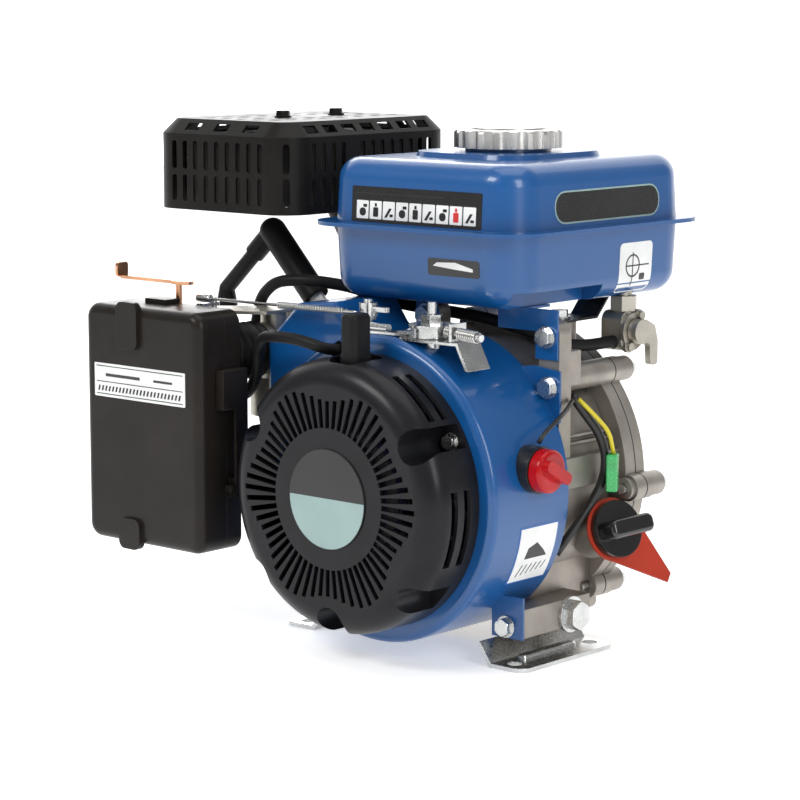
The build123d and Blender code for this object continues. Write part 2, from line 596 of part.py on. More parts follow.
def recoil_cover():
    body = turned(recoil_profile(0)) - turned(recoil_profile(RECOIL_T))
    # slots in the front: long ones from the plain disc to the rim
    slots = []
    for k in range(SLOT_COUNT):
        turn = 360 * k / SLOT_COUNT
        end = SLOT_R - 4 + SLOT_WAVE * cos(radians(6 * turn))
        slot = Pos((DISC_R + end) / 2, 0, 0) * Box(end - DISC_R, 12, 3.0)
        slots.append(Pos(0, RECOIL_Y0, CRANK_Z) * Rot(0, -turn, 0) * slot)
    body = body - slots
    body = body + cyl_y(8, RECOIL_Y0 + 1, -80)
    # side vents in pairs
    for start, end in ((38, 64), (-24, 8), (116, 142)):
        for y0, y1 in ((-90, -84.5), (-79, -73.5)):
            angles = [start + (end - start) * k / 10 for k in range(11)]
            outer = [polar(95, a) for a in angles]
            hole = polygon(*outer, (0, CRANK_Z))
            body = body - (prism_y(hole, y0, y1) - cyl_y(60, y0 - 1, y1 + 1))
    # pockets for the three bolts
    for angle in RECOIL_BOLT_ANGLES:
        x, z = polar(RECOIL_BOLT_R + 2, angle)
        post = cyl_y(12, RECOIL_Y0, SHROUD_Y0 - 0.01, x, z) & turned(recoil_profile(0.4))
        body = body + post - cyl_y(10, RECOIL_Y0 - 1, SHROUD_Y0 - RECOIL_T, x, z)
    # two blank notches low in the rim
    for angle in BLANK_POCKETS:
        x, z = polar(RECOIL_R, angle)
        post = cyl_y(12, RECOIL_Y0, -71.5, x, z) & turned(recoil_profile(0.4))
        body = body + post - cyl_y(10, RECOIL_Y0 - 1, -74, x, z)
    # pocket at the top that the pull handle sits in, with the rope's hole
    pocket = prism_z(rounded(27, 33, 8, HANDLE_X, HANDLE_Y), POCKET_Z - 2.5, 182)
    body = body + (pocket & turned(recoil_profile(0.4)))
    body = body - prism_z(rounded(22, 28, 6, HANDLE_X, HANDLE_Y), POCKET_Z, 200)
    body = body - cyl_z(3.0, 150, 190, HANDLE_X, HANDLE_Y)
    body = body - cyl_y(14, RECOIL_Y0 - 0.2, RECOIL_Y0 + 0.5)
    return drill(body, RECOIL_BOLTS)


def recoil_badge():
    return cyl_y(29, RECOIL_Y0 - 0.8, RECOIL_Y0) + cyl_y(13.5, RECOIL_Y0 - 0.8, RECOIL_Y0 + 0.4)


def recoil_pulley():
    body = tube_y(PULLEY_R + 5, 8.06, -97, -94.5) + tube_y(PULLEY_R, 8.06, -95, -83)
    body = body + tube_y(PULLEY_R + 5, 8.06, -84, -81)
    return body - tube_y(PULLEY_R - 5, 12, -98, -88)


def recoil_spring():
    """The flat spring wound inside the pulley's cup."""
    return tube_y(PULLEY_R - 6, 16, -97, -88.5)


def rope_turns():
    return tube_y(PULLEY_R + 3.4, PULLEY_R + 0.02, -94.4, -84.1)


ROPE_LOW_Z, ROPE_TOP_Z = 142.0, 170.0


def pull_rope():
    return cyl_z(1.8, ROPE_LOW_Z, ROPE_TOP_Z, HANDLE_X, HANDLE_Y)


def starter_handle():
    foot = prism_z(rounded(13, 17, 4, HANDLE_X, HANDLE_Y), POCKET_Z + 0.5, POCKET_Z + 20)
    grip = prism_z(rounded(12, 16, 4, HANDLE_X, HANDLE_Y), POCKET_Z + 20, 203)
    grip = fillet(grip.faces().sort_by(Axis.Z)[-1].edges(), 3)
    return foot + grip - cyl_z(1.82, POCKET_Z, ROPE_TOP_Z, HANDLE_X, HANDLE_Y)


# ---------------------------------------------------------------- tank
def tank_half(up, inset):
    """Upper or lower tank pressing: drafted walls with a round edge, inset from the outside."""
    w, length = TANK_W - 2 * inset, TANK_L - 2 * inset
    sketch = rounded(w, length, TANK_CORNER - inset, TANK_X, TANK_Y)
    if up:
        body = prism_z(sketch, TANK_SEAM, TANK_Z1 - inset, taper=3)
        return fillet(body.faces().sort_by(Axis.Z)[-1].edges(), 13 - inset)
    sketch = Plane.XY.offset(TANK_SEAM) * sketch
    body = extrude(sketch, amount=TANK_SEAM - TANK_Z0 - inset, taper=3, dir=(0, 0, -1))
    return fillet(body.faces().sort_by(Axis.Z)[0].edges(), 14 - inset)


def tank_flange(z0, z1):
    return prism_z(rounded(TANK_W + 2 * TANK_LIP, TANK_L + 2 * TANK_LIP, TANK_CORNER + 2, TANK_X, TANK_Y),
                   z0, z1)


def tank_upper():
    raised = prism_z(rounded(92, 100, 26, CAP_X, CAP_Y), TANK_Z1 - 3, TANK_Z1 + 3, taper=25)
    body = tank_half(True, 0) + raised + tank_flange(TANK_SEAM, TANK_SEAM + 1.2)
    body = body + cyl_z(NECK_R, TANK_Z1, CAP_Z0, CAP_X, CAP_Y)
    body = body - tank_half(True, TANK_T)
    return body - cyl_z(NECK_R - 2, TANK_Z1 - 6, CAP_Z0 + 1, CAP_X, CAP_Y)


def tank_lower():
    body = tank_half(False, 0) + tank_flange(TANK_SEAM - 1.2, TANK_SEAM)
    body = body - tank_half(False, TANK_T)
    # the lower right edge is stepped up over the fuel line
    step = block(56, 90, -20, 56, 190, 213)
    step_skin = block(54.5, 88.5, -21.5, 57.5, 190, 214.5) & tank_half(False, 0)
    body = body + step_skin - step
    body = body - cyl_z(COCK_HOLE_R, 195, 210, COCK_X, COCK_Y)
    return body


def tank_brackets():
    """Front right strap, front left strap and rear strut between the crankcase and the tank."""
    strap = block(UPRIGHT_X - 9, UPRIGHT_X + 7, 0.5, 2.0, 174, 200)
    strap = strap + block(38, UPRIGHT_X + 7, 0.5, 2.0, 190, TANK_Z0)
    strap = strap + block(38, 58, 0.5, 24, TANK_Z0 - 1.5, TANK_Z0)
    strap = drill(strap, UPRIGHT_BOLTS[1:])
    rear = cyl_z(11, 189, 190.5, *STRUT_AT)
    rear = rear + block(STRUT_AT[0] - 10, STRUT_AT[0] + 10, 56, 80, 189, 190.5)
    lean = polygon((78, 189), (80, 189), (92, TANK_Z0 - 1.5), (90, TANK_Z0 - 1.5))
    rear = rear + prism_x(lean, STRUT_AT[0] - 10, STRUT_AT[0] + 10)
    rear = rear + block(STRUT_AT[0] - 10, STRUT_AT[0] + 10, 88, 112, TANK_Z0 - 1.5, TANK_Z0)
    rear = drill(rear, STRUT_BOLTS)
    left = block(LEFT_EAR[0] - 8, LEFT_EAR[0] + 8, -1, 0.5, 188.2, TANK_Z0)
    left = left + block(LEFT_EAR[0] - 8, LEFT_EAR[0] + 8, -1, 24, TANK_Z0 - 1.5, TANK_Z0)
    left = drill(left, EAR_BOLTS)
    return [strap, left, rear]


def fuel_cap():
    body = cyl_z(CAP_R, CAP_Z0, CAP_Z1 - 1, CAP_X, CAP_Y)
    body = fillet(body.faces().sort_by(Axis.Z)[-1].edges(), 2.5)
    body = body + cyl_z(CAP_R - 9, CAP_Z1 - 2, CAP_Z1, CAP_X, CAP_Y)
    scallops = 20
    for k in range(scallops):
        x, y = polar(CAP_R + 5.2, 360 * k / scallops, CAP_X, CAP_Y)
        body = body - cyl_z(6.5, CAP_Z0 - 1, CAP_Z1 + 1, x, y)
    body = body + cyl_z(NECK_R - 2.5, CAP_Z0 - 8, CAP_Z0 + 1, CAP_X, CAP_Y)
    return body - cyl_z(NECK_R - 5, CAP_Z0 - 9, CAP_Z1 - 5, CAP_X, CAP_Y)


# ---------------------------------------------------------------- fuel cock and hose
HOSE_R = 3.6
HOSE_ROUTE = [
    (62, 80, HOSE_Z), (62, 54, HOSE_Z), (58, 34, 178), (44, 22, 186), (16, 18, 192), (-20, 20, 193.5),
    (-54, 14, 196), (-80, 2, 205.5), (-102, -14, 209), (-124, -18, 207), (-139, -16, 196), (-142, -17, 180),
]


def fuel_cock():
    nut = prism_z(Pos(COCK_X, COCK_Y) * RegularPolygon(8.5, 6), 194, TANK_Z0)
    body = nut + cyl_z(5.0 - 0.05, TANK_Z0 - 1, TANK_Z0 + 6, COCK_X, COCK_Y)
    body = body + cyl_z(7.0, 186, 195, COCK_X, COCK_Y)
    body = body + prism_x(rounded(20, 24, 6, COCK_Y, COCK_Z), COCK_X - 9, COCK_X + 6)
    plate = Pos(COCK_Y, COCK_Z) * (Circle(11) + Rot(0, 0, -30) * rounded(8, 28, 3.9))
    body = body + prism_x(plate, COCK_X + 6, COCK_X + 8.5)
    for end in (-1, 1):
        y, z = polar(10.5 * end, 60, COCK_Y, COCK_Z)
        body = body + rod((COCK_X + 8, y, z), (COCK_X + 10.5, y, z), 2.6)
    body = body + rod((COCK_X, COCK_Y - 8, HOSE_Z), (COCK_X, 80, HOSE_Z), 4.6)
    pivot = rod((COCK_X, COCK_Y, COCK_Z), (COCK_X + 9, COCK_Y, COCK_Z), 5.05)
    return body - pivot


def fuel_cock_lever():
    x = COCK_X + 8.5 + GAP
    body = rod((COCK_X + 1, COCK_Y, COCK_Z), (x + 1, COCK_Y, COCK_Z), 5.0)
    hub = rod((x, COCK_Y, COCK_Z), (x + 6, COCK_Y, COCK_Z), 7.5)
    outline = polygon((COCK_Y - 5, COCK_Z + 5), (COCK_Y + 4, COCK_Z + 7), (COCK_Y + 12, COCK_Z + 3),
                      (COCK_Y + 15, COCK_Z - 6), (COCK_Y + 15, COCK_Z - 21), (COCK_Y + 8, COCK_Z - 21),
                      (COCK_Y + 7, COCK_Z - 8), (COCK_Y, COCK_Z - 6))
    arm = fillet(outline.vertices(), 2.5)
    return body + hub + prism_x(arm, x + 2, x + 6)


def fuel_hose():
    return cable("fuel_hose", HOSE_ROUTE, HOSE_R)


# ---------------------------------------------------------------- carburettor and linkage
CHOKE_X, CHOKE_Y = -158.0, -68.0
ARM_X, ARM_Y = -142.0, -54.0
PLATE_Z = 190.0


def carburettor():
    body = cyl_y(12, -40, -9, CARB_X, CARB_Z)
    body = body + prism_y(rounded(34, 26, 6, CARB_X, CARB_Z), -12, PORT_Y)
    body = body + tube_y(16, 9, -42, -38, CARB_X, CARB_Z)
    body = body + cyl_z(8, 148, CARB_Z, CARB_X, -24)
    body = body + cyl_z(17, 126, 150, CARB_X, -24) + cyl_z(5, 122, 127, CARB_X, -24)
    body = body + cyl_z(9, CARB_Z, PLATE_Z, CARB_X, -26)
    plate = polygon((CARB_X - 9, -16), (CARB_X + 12, -16), (CARB_X + 12, -46), (CARB_X - 20, -64),
                    (CHOKE_X, -74), (CHOKE_X - 8, -70), (CHOKE_X - 8, -60), (CARB_X - 22, -34))
    body = body + prism_z(plate, PLATE_Z, PLATE_Z + 2)
    body = body + cyl_z(4.5, PLATE_Z - 8, PLATE_Z, CHOKE_X, CHOKE_Y)
    body = body + cyl_z(4.5, PLATE_Z - 8, PLATE_Z, ARM_X, ARM_Y)
    body = body - cyl_z(2.05, PLATE_Z - 7, PLATE_Z + 3, CHOKE_X, CHOKE_Y)
    body = body - cyl_z(2.05, PLATE_Z - 7, PLATE_Z + 3, ARM_X, ARM_Y)
    body = body - cyl_y(8, -43, PORT_Y + 1, CARB_X, CARB_Z)
    # fuel inlet: a stub up to the hose, on an arm from the float bowl's cover
    x, y, z = HOSE_ROUTE[-1]
    body = body + cyl_z(HOSE_R, 154, z - 1, x, y) + cyl_z(5, 150, 158, x, y)
    return body + block(x - 3, CARB_X - 6, y - 4, y + 4, 151, 157)


def intake_bellows():
    """Ribbed rubber duct from the air cleaner to the carburettor."""
    body = tube_y(14.5, 9, BOX_Y1, -42, CARB_X, CARB_Z)
    for k in range(5):
        y = BOX_Y1 + 1 + 6.2 * k
        body = body + tube_y(17.5, 13, y, y + 3.2, CARB_X, CARB_Z)
    return body


def choke_lever():
    body = cyl_z(2.0, PLATE_Z - 6, 209, CHOKE_X, CHOKE_Y)
    arm = rounded(16, 9, 4.4, CHOKE_X + 3, CHOKE_Y) + rounded(52, 4.5, 2, CHOKE_X - 25, CHOKE_Y)
    body = body + prism_z(arm, 207, 209)
    return body + prism_x(rounded(9, 9, 2, CHOKE_Y, 212.5), CHOKE_X - 52, CHOKE_X - 50)


LINK_Z = 199.0
GOV_X, GOV_Y = -22.0, -46.0
ARM_REACH = 10.0


def throttle_arm():
    body = cyl_z(2.0, PLATE_Z - 6, LINK_Z, ARM_X, ARM_Y)
    arm = rounded(7, 17, 3.4, ARM_X, ARM_Y - ARM_REACH / 2)
    body = body + prism_z(arm, LINK_Z - 5, LINK_Z - 3)
    return body


def governor_arm():
    """Vertical shaft through the top of the shroud with a clamp and an arm."""
    body = cyl_z(2.5, 183, 206, GOV_X, GOV_Y)
    arm = rounded(9, 19, 4.4, GOV_X, GOV_Y - ARM_REACH / 2)
    body = body + prism_z(arm, LINK_Z - 5, LINK_Z - 3)
    body = body + cyl_z(5.5, LINK_Z - 3, LINK_Z + 5, GOV_X, GOV_Y)
    return body + prism_z(rounded(14, 4, 1.5, GOV_X + 9, GOV_Y), LINK_Z, LINK_Z + 3)


def governor_link():
    """Wire link with its spring, hooked into the governor arm and the throttle arm."""
    y = GOV_Y - ARM_REACH
    low = LINK_Z - 3 + GAP
    body = rod((ARM_X - 4, ARM_Y - ARM_REACH, LINK_Z), (GOV_X, y, LINK_Z), 1.0)
    body = body + rod((ARM_X - 4, ARM_Y - ARM_REACH, LINK_Z), (ARM_X + 6, ARM_Y - 9.3, LINK_Z), 2.4)
    body = body + cyl_z(1.0, low, LINK_Z, GOV_X, y)
    spring = rod((ARM_X + 60, -61.0, LINK_Z), (GOV_X - 8, -56.7, LINK_Z), 2.4)
    return body + spring


CONTROL_X, CONTROL_Y = 29.0, -48.0


def control_bracket():
    """Pressed bracket on top of the shroud, with the idle screw's tab."""
    z = CRANK_Z + sqrt(SHROUD_R**2 - CONTROL_X**2) + 3.0
    body = prism_z(rounded(44, 26, 4, CONTROL_X + 6, CONTROL_Y), z, z + 1.6)
    body = body + cyl_z(4.5, z - 8, z, CONTROL_X, CONTROL_Y)
    body = body - cyl_y(SHROUD_R, SHROUD_Y0, 5)
    tab = polygon((CONTROL_X + 26, z + 1.6), (CONTROL_X + 28, z + 1.6), (CONTROL_X + 36, z - 14),
                  (CONTROL_X + 34, z - 14))
    body = body + prism_y(tab, CONTROL_Y - 11, CONTROL_Y + 9)
    body = body + rod((CONTROL_X + 16, CONTROL_Y - 6, z + 7), (CONTROL_X + 42, CONTROL_Y - 6, z + 5), 2.2)
    body = body + block(CONTROL_X + 22, CONTROL_X + 24, CONTROL_Y - 11, CONTROL_Y + 2, z + 1, z + 12)
    return body + cyl_z(2.5, z, z + 22, CONTROL_X, CONTROL_Y)


def control_lever():
    z = CRANK_Z + sqrt(SHROUD_R**2 - CONTROL_X**2) + 4.6 + GAP
    hub = cyl_z(12, z, z + 6, CONTROL_X, CONTROL_Y) + cyl_z(13.5, z + 6, z + 7.5, CONTROL_X, CONTROL_Y)
    hub = hub + prism_z(Pos(CONTROL_X, CONTROL_Y) * RegularPolygon(6.5, 6), z + 7.5, z + 13)
    arm = polygon((CONTROL_X, CONTROL_Y - 9), (CONTROL_X, CONTROL_Y + 6), (CONTROL_X - 38, CONTROL_Y - 4),
                  (CONTROL_X - 38, CONTROL_Y - 12))
    hub = hub + prism_z(arm, z, z + 1.6)
    clamp_x, clamp_y = CONTROL_X - 34, CONTROL_Y - 8
    hub = hub + rod((clamp_x - 8, clamp_y, z + 3.4), (clamp_x + 8, clamp_y, z + 3.4), 2.6)
    return hub - cyl_z(2.56, z - 1, z + 30, CONTROL_X, CONTROL_Y)


# ---------------------------------------------------------------- air cleaner
def air_box(y0, y1, inset=0.0, radius=9.0):
    w, h = BOX_X1 - BOX_X0 - 2 * inset, BOX_Z1 - BOX_Z0 - 2 * inset
    return prism_y(rounded(w, h, radius - inset, (BOX_X0 + BOX_X1) / 2, (BOX_Z0 + BOX_Z1) / 2), y0, y1)


BOX_X = (BOX_X0 + BOX_X1) / 2


def air_cleaner_cover():
    body = air_box(BOX_Y0, BOX_SEAM)
    body = fillet(body.faces().sort_by(Axis.Y)[0].edges(), 6)
    body = body - air_box(BOX_Y0 + 2.2, BOX_SEAM + 1, 2.2)
    # keepers at the top and bottom of the face
    for z0, z1 in ((BOX_Z1 - 26, BOX_Z1 + 3), (BOX_Z0 - 3, BOX_Z0 + 16)):
        tab = rounded(18, z1 - z0, 5, BOX_X - 10, (z0 + z1) / 2)
        body = body + prism_y(tab, BOX_Y0 - 2.5, BOX_Y0 + 2)
    return body


def air_cleaner_base():
    body = air_box(BOX_SEAM, BOX_Y1, 0.0) - air_box(BOX_SEAM - 1, BOX_Y1 - 2.2, 2.2)
    for z0, z1 in ((BOX_Z1, BOX_Z1 + 3), (BOX_Z0 - 3, BOX_Z0)):
        body = body + block(BOX_X - 19, BOX_X - 1, BOX_SEAM, BOX_Y1, z0, z1)
    body = body - cyl_y(9, BOX_Y1 - 4, BOX_Y1 + 1, CARB_X, CARB_Z)
    body = body + block(BOX_X1 - 1, BOX_X1 + 5, BOX_SEAM + 2, BOX_Y1, 84, 96)
    body = body - rod((BOX_X1 + 2.5, BOX_SEAM, 90), (BOX_X1 + 2.5, BOX_Y1 + 1, 90), 1.6)
    # inlet slots through the underside
    for k in range(5):
        x = BOX_X0 + 16 + 14 * k
        body = body - block(x, x + 8, BOX_SEAM + 3, BOX_Y1 - 3, BOX_Z0 - 1, BOX_Z0 + 4)
    return body


def air_filter():
    return block(BOX_X0 + 6, BOX_X1 - 6, BOX_Y0 + 6, BOX_SEAM + 2, BOX_Z0 + 6, BOX_Z1 - 6)


def air_cleaner_clip():
    x = BOX_X1 + 2.5
    body = rod((x, BOX_SEAM + 0.4, 90), (x, BOX_Y1 - 0.4, 90), 1.5)
    strap = block(BOX_X1 + 5 + GAP, BOX_X1 + 7.3, BOX_SEAM + 1, BOX_Y1 - 1, 90, 146)
    body = body + block(x - 1, BOX_X1 + 7.3, BOX_SEAM - 3, BOX_SEAM - 0.5, 88, 92) + strap
    body = body + block(BOX_X1 + 5 + GAP, BOX_X1 + 7.3, BOX_SEAM - 3, BOX_SEAM + 1.7, 88, 92)
    body = body + rod((x, BOX_SEAM - 1, 90), (x, BOX_SEAM + 1, 90), 1.5)
    pad = block(BOX_X1 + 0.4, BOX_X1 + 7.3, BOX_SEAM - 9, BOX_Y1 - 1, 138, 162)
    return body + fillet(pad.edges().filter_by(Axis.Y), 1.5)


# ---------------------------------------------------------------- exhaust
def muffler():
    w, length = GUARD_X1 - GUARD_X0 - 22, GUARD_Y1 - GUARD_Y0 - 22
    can = prism_z(rounded(w, length, GUARD_CORNER, GUARD_MID_X, GUARD_MID_Y), GUARD_Z0 + 4, GUARD_Z1 - 10)
    can = fillet(can.faces().sort_by(Axis.Z)[-1].edges(), 8)
    foot = (EXHAUST_X, EXHAUST_Y, EXHAUST_Z + 2)
    top = (EXHAUST_X - 34, EXHAUST_Y, GUARD_Z0 + 8)
    can = can + rod(foot, top, 10)
    can = can + prism_z(rounded(24, 40, 6, EXHAUST_X, EXHAUST_Y), EXHAUST_Z, EXHAUST_Z + 5)
    can = can - rod((EXHAUST_X + 3.4, EXHAUST_Y, EXHAUST_Z - 3), top, 7.5)
    can = can - block(EXHAUST_X - 16, EXHAUST_X + 14, 35, 70, EXHAUST_Z - 8, EXHAUST_Z)
    for y in GUARD_BOLT_Y:
        can = can + cyl_z(5, GUARD_Z1 - 12, GUARD_Z1 - GUARD_T, GUARD_MID_X, y)
    can = can + cyl_y(9, GUARD_Y1 - 12, GUARD_Y1 + 8, GUARD_MID_X, OUTLET_Z)
    can = can - cyl_y(7.5, GUARD_Y1 - 30, GUARD_Y1 + 9, GUARD_MID_X, OUTLET_Z)
    return drill(can, GUARD_BOLTS)


def muffler_guard():
    w, length = GUARD_X1 - GUARD_X0, GUARD_Y1 - GUARD_Y0
    outer = prism_z(rounded(w, length, GUARD_CORNER, GUARD_MID_X, GUARD_MID_Y), GUARD_Z0, GUARD_Z1)
    outer = chamfer(outer.faces().sort_by(Axis.Z)[-1].edges(), GUARD_BEVEL)
    t = 2 * GUARD_T
    inner = prism_z(rounded(w - t, length - t, GUARD_CORNER - GUARD_T, GUARD_MID_X, GUARD_MID_Y),
                    GUARD_Z0 - 1, GUARD_Z1 - GUARD_T)
    inner = chamfer(inner.faces().sort_by(Axis.Z)[-1].edges(), GUARD_BEVEL - 0.4 * GUARD_T)
    cuts = []
    for level, (z0, z1) in enumerate(((5, 22), (25, 43))):
        slot = rounded(GUARD_SLOT, z1 - z0, 2, 0, GUARD_Z0 + (z0 + z1) / 2)
        for k in range(9):
            x = GUARD_X0 + 22 + 9.3 * k
            cuts.append(Pos(x, 0, 0) * prism_y(slot, GUARD_Y0 - 5, GUARD_Y1 + 5))
        for k in range(4):
            y = GUARD_Y0 + 24 + 8.9 * k
            cuts.append(Pos(0, y, 0) * prism_x(slot, GUARD_X0 - 5, GUARD_X1 + 5))
        inset = GUARD_CORNER * (1 - cos(radians(45)))
        for y, turn in ((GUARD_Y0 + inset, -45), (GUARD_Y1 - inset, 45)):
            corner = prism_x(slot, -6, 6)
            cuts.append(Pos(GUARD_X1 - inset, y, 0) * Rot(0, 0, turn) * corner)
            cuts.append(Pos(GUARD_X0 + inset, y, 0) * Rot(0, 0, 180 - turn) * corner)
    # behind a plain panel the sides have short slots along the top only
    slot = rounded(GUARD_SLOT, 11, 2, 0, GUARD_Z0 + 37.5)
    for k in range(5, 13):
        y = GUARD_Y0 + 24 + 8.9 * k
        cuts.append(Pos(0, y, 0) * prism_x(slot, GUARD_X0 - 5, GUARD_X1 + 5))
    # windows in the bevel round the top
    for k in range(3):
        x = GUARD_X0 + 35 + 25 * k
        cuts.append(block(x - 6, x + 6, GUARD_Y0 - 1, GUARD_Y1 + 1, GUARD_Z1 - 7, GUARD_Z1 - 2.6))
    for k in range(7):
        y = GUARD_Y0 + 26 + 17 * k
        cuts.append(block(GUARD_X0 - 1, GUARD_X1 + 1, y - 5.5, y + 5.5, GUARD_Z1 - 7, GUARD_Z1 - 2.6))
    # rows of short slots in the top, but for the strip round the bolts
    for i in range(5):
        for k in range(8):
            x, y = GUARD_X0 + 32 + 13.75 * i, GUARD_Y0 + 22 + 15.5 * k
            if abs(x - GUARD_MID_X) > 8 or not 12 < y < 85:
                cuts.append(prism_z(rounded(4, 9, 1.9, x, y), GUARD_Z1 - 5, GUARD_Z1 + 5))
    cuts.append(cyl_y(9.6, GUARD_Y1 - 5, GUARD_Y1 + 5, GUARD_MID_X, OUTLET_Z))
    return drill(outer - inner - cuts, GUARD_BOLTS)


# ---------------------------------------------------------------- ignition lead and plug
LEAD_R = 3.4
BOOT_START, BOOT_ELBOW = 22.0, 76.0
BOOT_END = Vector(-197.0, 12.0, 195.0)
FLARE_Z = 184.0
LEAD_ROUTE = [
    (-13, -36.4, 176.5), (-20, -37.6, 176.8), (-26, -44, 177), (-28, -58, 177), (-29.5, -73, 178),
    (-46, -77, 182.5), (-66, -76, 183), (-83, -72, 181), (-92, -67, 172), (-94, -65, 158),
    (-102, -64, 145), (-120, -62, 138), (-142, -58, 135), (-165, -48, 136), (-184, -30, 141),
    (-195, -8, 150), (-197.4, 9, 162), (-197, 12, 174), (-197, 12.1, 187),
]


def spark_plug():
    body = rod(plug_point(-13), plug_point(1), 5.0)
    hexagon = Plane(origin=plug_point(0), z_dir=PLUG_DIR) * extrude(RegularPolygon(9, 6), amount=9)
    body = body + hexagon + rod(plug_point(8), plug_point(30), 5.0)
    return body + rod(plug_point(29), plug_point(40), 2.5)


def plug_cap():
    """Rubber boot: a fat leg over the plug and a thin one for the lead."""
    elbow = plug_point(BOOT_ELBOW)
    down = (BOOT_END - elbow).normalized()
    body = rod(plug_point(BOOT_START), elbow, 8.5) + Pos(elbow) * Sphere(8.5)
    body = body + rod(elbow, elbow + down * 22, 6.5) + rod(elbow + down * 20, BOOT_END, 4.9)
    body = body + Pos(BOOT_END) * Sphere(4.9)
    flare = Cone(7.0, 4.9, BOOT_END.Z - FLARE_Z)
    body = body + Pos(BOOT_END.X, BOOT_END.Y, (BOOT_END.Z + FLARE_Z) / 2) * flare
    body = body - cyl_z(LEAD_R + 0.2, FLARE_Z - 1, 187.1, BOOT_END.X, BOOT_END.Y)
    body = body - rod(plug_point(BOOT_START - 1), plug_point(41), 5.05)
    return body


def ignition_lead():
    return cable("ignition_lead", LEAD_ROUTE, LEAD_R)


# ---------------------------------------------------------------- base, switch, dipstick, wiring
def foot_bracket(side):
    """A pressed steel foot: bolted under the case, stepped down to the base bolts."""
    top = BASE_Z0
    profile = polygon((34, top - FOOT_T), (60, top - FOOT_T), (69, 0), (FOOT_X1, 0), (FOOT_X1, FOOT_T),
                      (70.5, FOOT_T), (61.5, top), (34, top))
    body = prism_y(profile, -44, 44)
    corners = body.edges().filter_by(Axis.Z).group_by(Axis.X)[-1]
    body = fillet(corners, 8)
    rib = prism_z(rounded(7, 50, 3.4, 76.5, 0), FOOT_T - 0.1, FOOT_T + 2.6)
    body = body + fillet(rib.faces().sort_by(Axis.Z)[-1].edges(), 2)
    for y in (-BOLT_Y, BOLT_Y):
        body = body - cyl_z(BOLT_HOLE_R, -5, 10, BOLT_X, y)
    body = body - block(30, 62, -45, 4, 5, 20)
    for y in (14, 40):
        body = body - cyl_z(M6 + HOLE_GAP, 5, 20, 46, y)
    return body if side > 0 else mirror(body, about=Plane.YZ)


def base_feet():
    return [foot_bracket(1), foot_bracket(-1)]


def drain_plug():
    return hex_bolt((BEAM_X1, 17, 22.5), (1, 0, 0), 5.0, 12)


def stop_switch():
    """Round base of the stop switch, on the right-hand side of the shroud."""
    body = rod((84.5, SWITCH_Y, SWITCH_Z), (95.5, SWITCH_Y, SWITCH_Z), 13.5)
    body = body - cyl_y(SHROUD_R + 0.02, -60, 3)
    body = body + rod((86, SWITCH_Y, SWITCH_Z), (91, SWITCH_Y, SWITCH_Z), 5.9)
    return body - rod((88, SWITCH_Y, SWITCH_Z), (97, SWITCH_Y, SWITCH_Z), 4.05)


def stop_knob():
    x = 95.5 + GAP
    body = rod((x, SWITCH_Y, SWITCH_Z), (x + 8, SWITCH_Y, SWITCH_Z), 12.5)
    body = fillet(body.faces().sort_by(Axis.X)[-1].edges(), 2.5)
    grip = prism_x(rounded(7, 24, 3.4, SWITCH_Y, SWITCH_Z), x + 7, x + 13)
    grip = Pos(0, SWITCH_Y, SWITCH_Z) * Rot(60, 0, 0) * Pos(0, -SWITCH_Y, -SWITCH_Z) * grip
    return body + grip + rod((89, SWITCH_Y, SWITCH_Z), (x + 1, SWITCH_Y, SWITCH_Z), 4.0)


def dipstick():
    """Screw-in filler cap with the dipstick under it."""
    plane = Plane(origin=filler_point(0), z_dir=FILLER_DIR)
    cap = Pos(0, 0, 1.6 + 2.5) * Cylinder(17, 5)
    grip = Pos(0, 0, 6.5) * extrude(RectangleRounded(11, 32, 4), amount=15)
    grip = fillet(grip.faces().sort_by(Axis.Z)[-1].edges(), 3)
    stem = Pos(0, 0, -6) * Cylinder(10.2, 16) + Pos(0, 0, -28) * Cylinder(2.5, 34)
    return plane * (cap + grip + stem)


def warning_tag():
    """A plain plastic tag hung under the dipstick's cap."""
    plane = Plane(origin=filler_point(0.1), z_dir=FILLER_DIR)
    tag = Circle(19) + polygon((-17, -8), (17, -8), (4, -48), (-2, -49))
    tag = tag - Circle(10.4)
    return plane * Rot(0, 0, 312) * extrude(tag, amount=1.2)


WIRE_R = 1.3
HARNESS_R = 2.6
HARNESS_ROUTE = [(80, 17, 152), (83, 24, 142), (87, 33, 130), (89, 38, 117), (88.6, 38, 104),
                 (87, 32, 92), (83, 22, 78), (79, 14, 67), (75.5, 9, 59)]
SWITCH_WIRE_ROUTE = [(84.4, 12, 150), (88, 2, 146), (92, -10, 143), (94, -25, 137), (92, -29, 131)]
YELLOW_ROUTE = [(83.4, 19, 150), (88, 27, 141), (94, 35, 130), (95.5, 37, 117)]
CONNECTOR_AT = (95.4, 36.5, 106.0)


def wiring():
    harness = cable("harness", HARNESS_ROUTE, HARNESS_R)
    switch_wire = cable("switch_wire", SWITCH_WIRE_ROUTE, WIRE_R)
    yellow = cable("yellow_wire", YELLOW_ROUTE, WIRE_R)
    connector = Pos(*CONNECTOR_AT) * Rot(0, 0, 30) * Box(6.5, 10, 22)
    return [harness, switch_wire, yellow, fillet(connector.edges(), 1.0)]


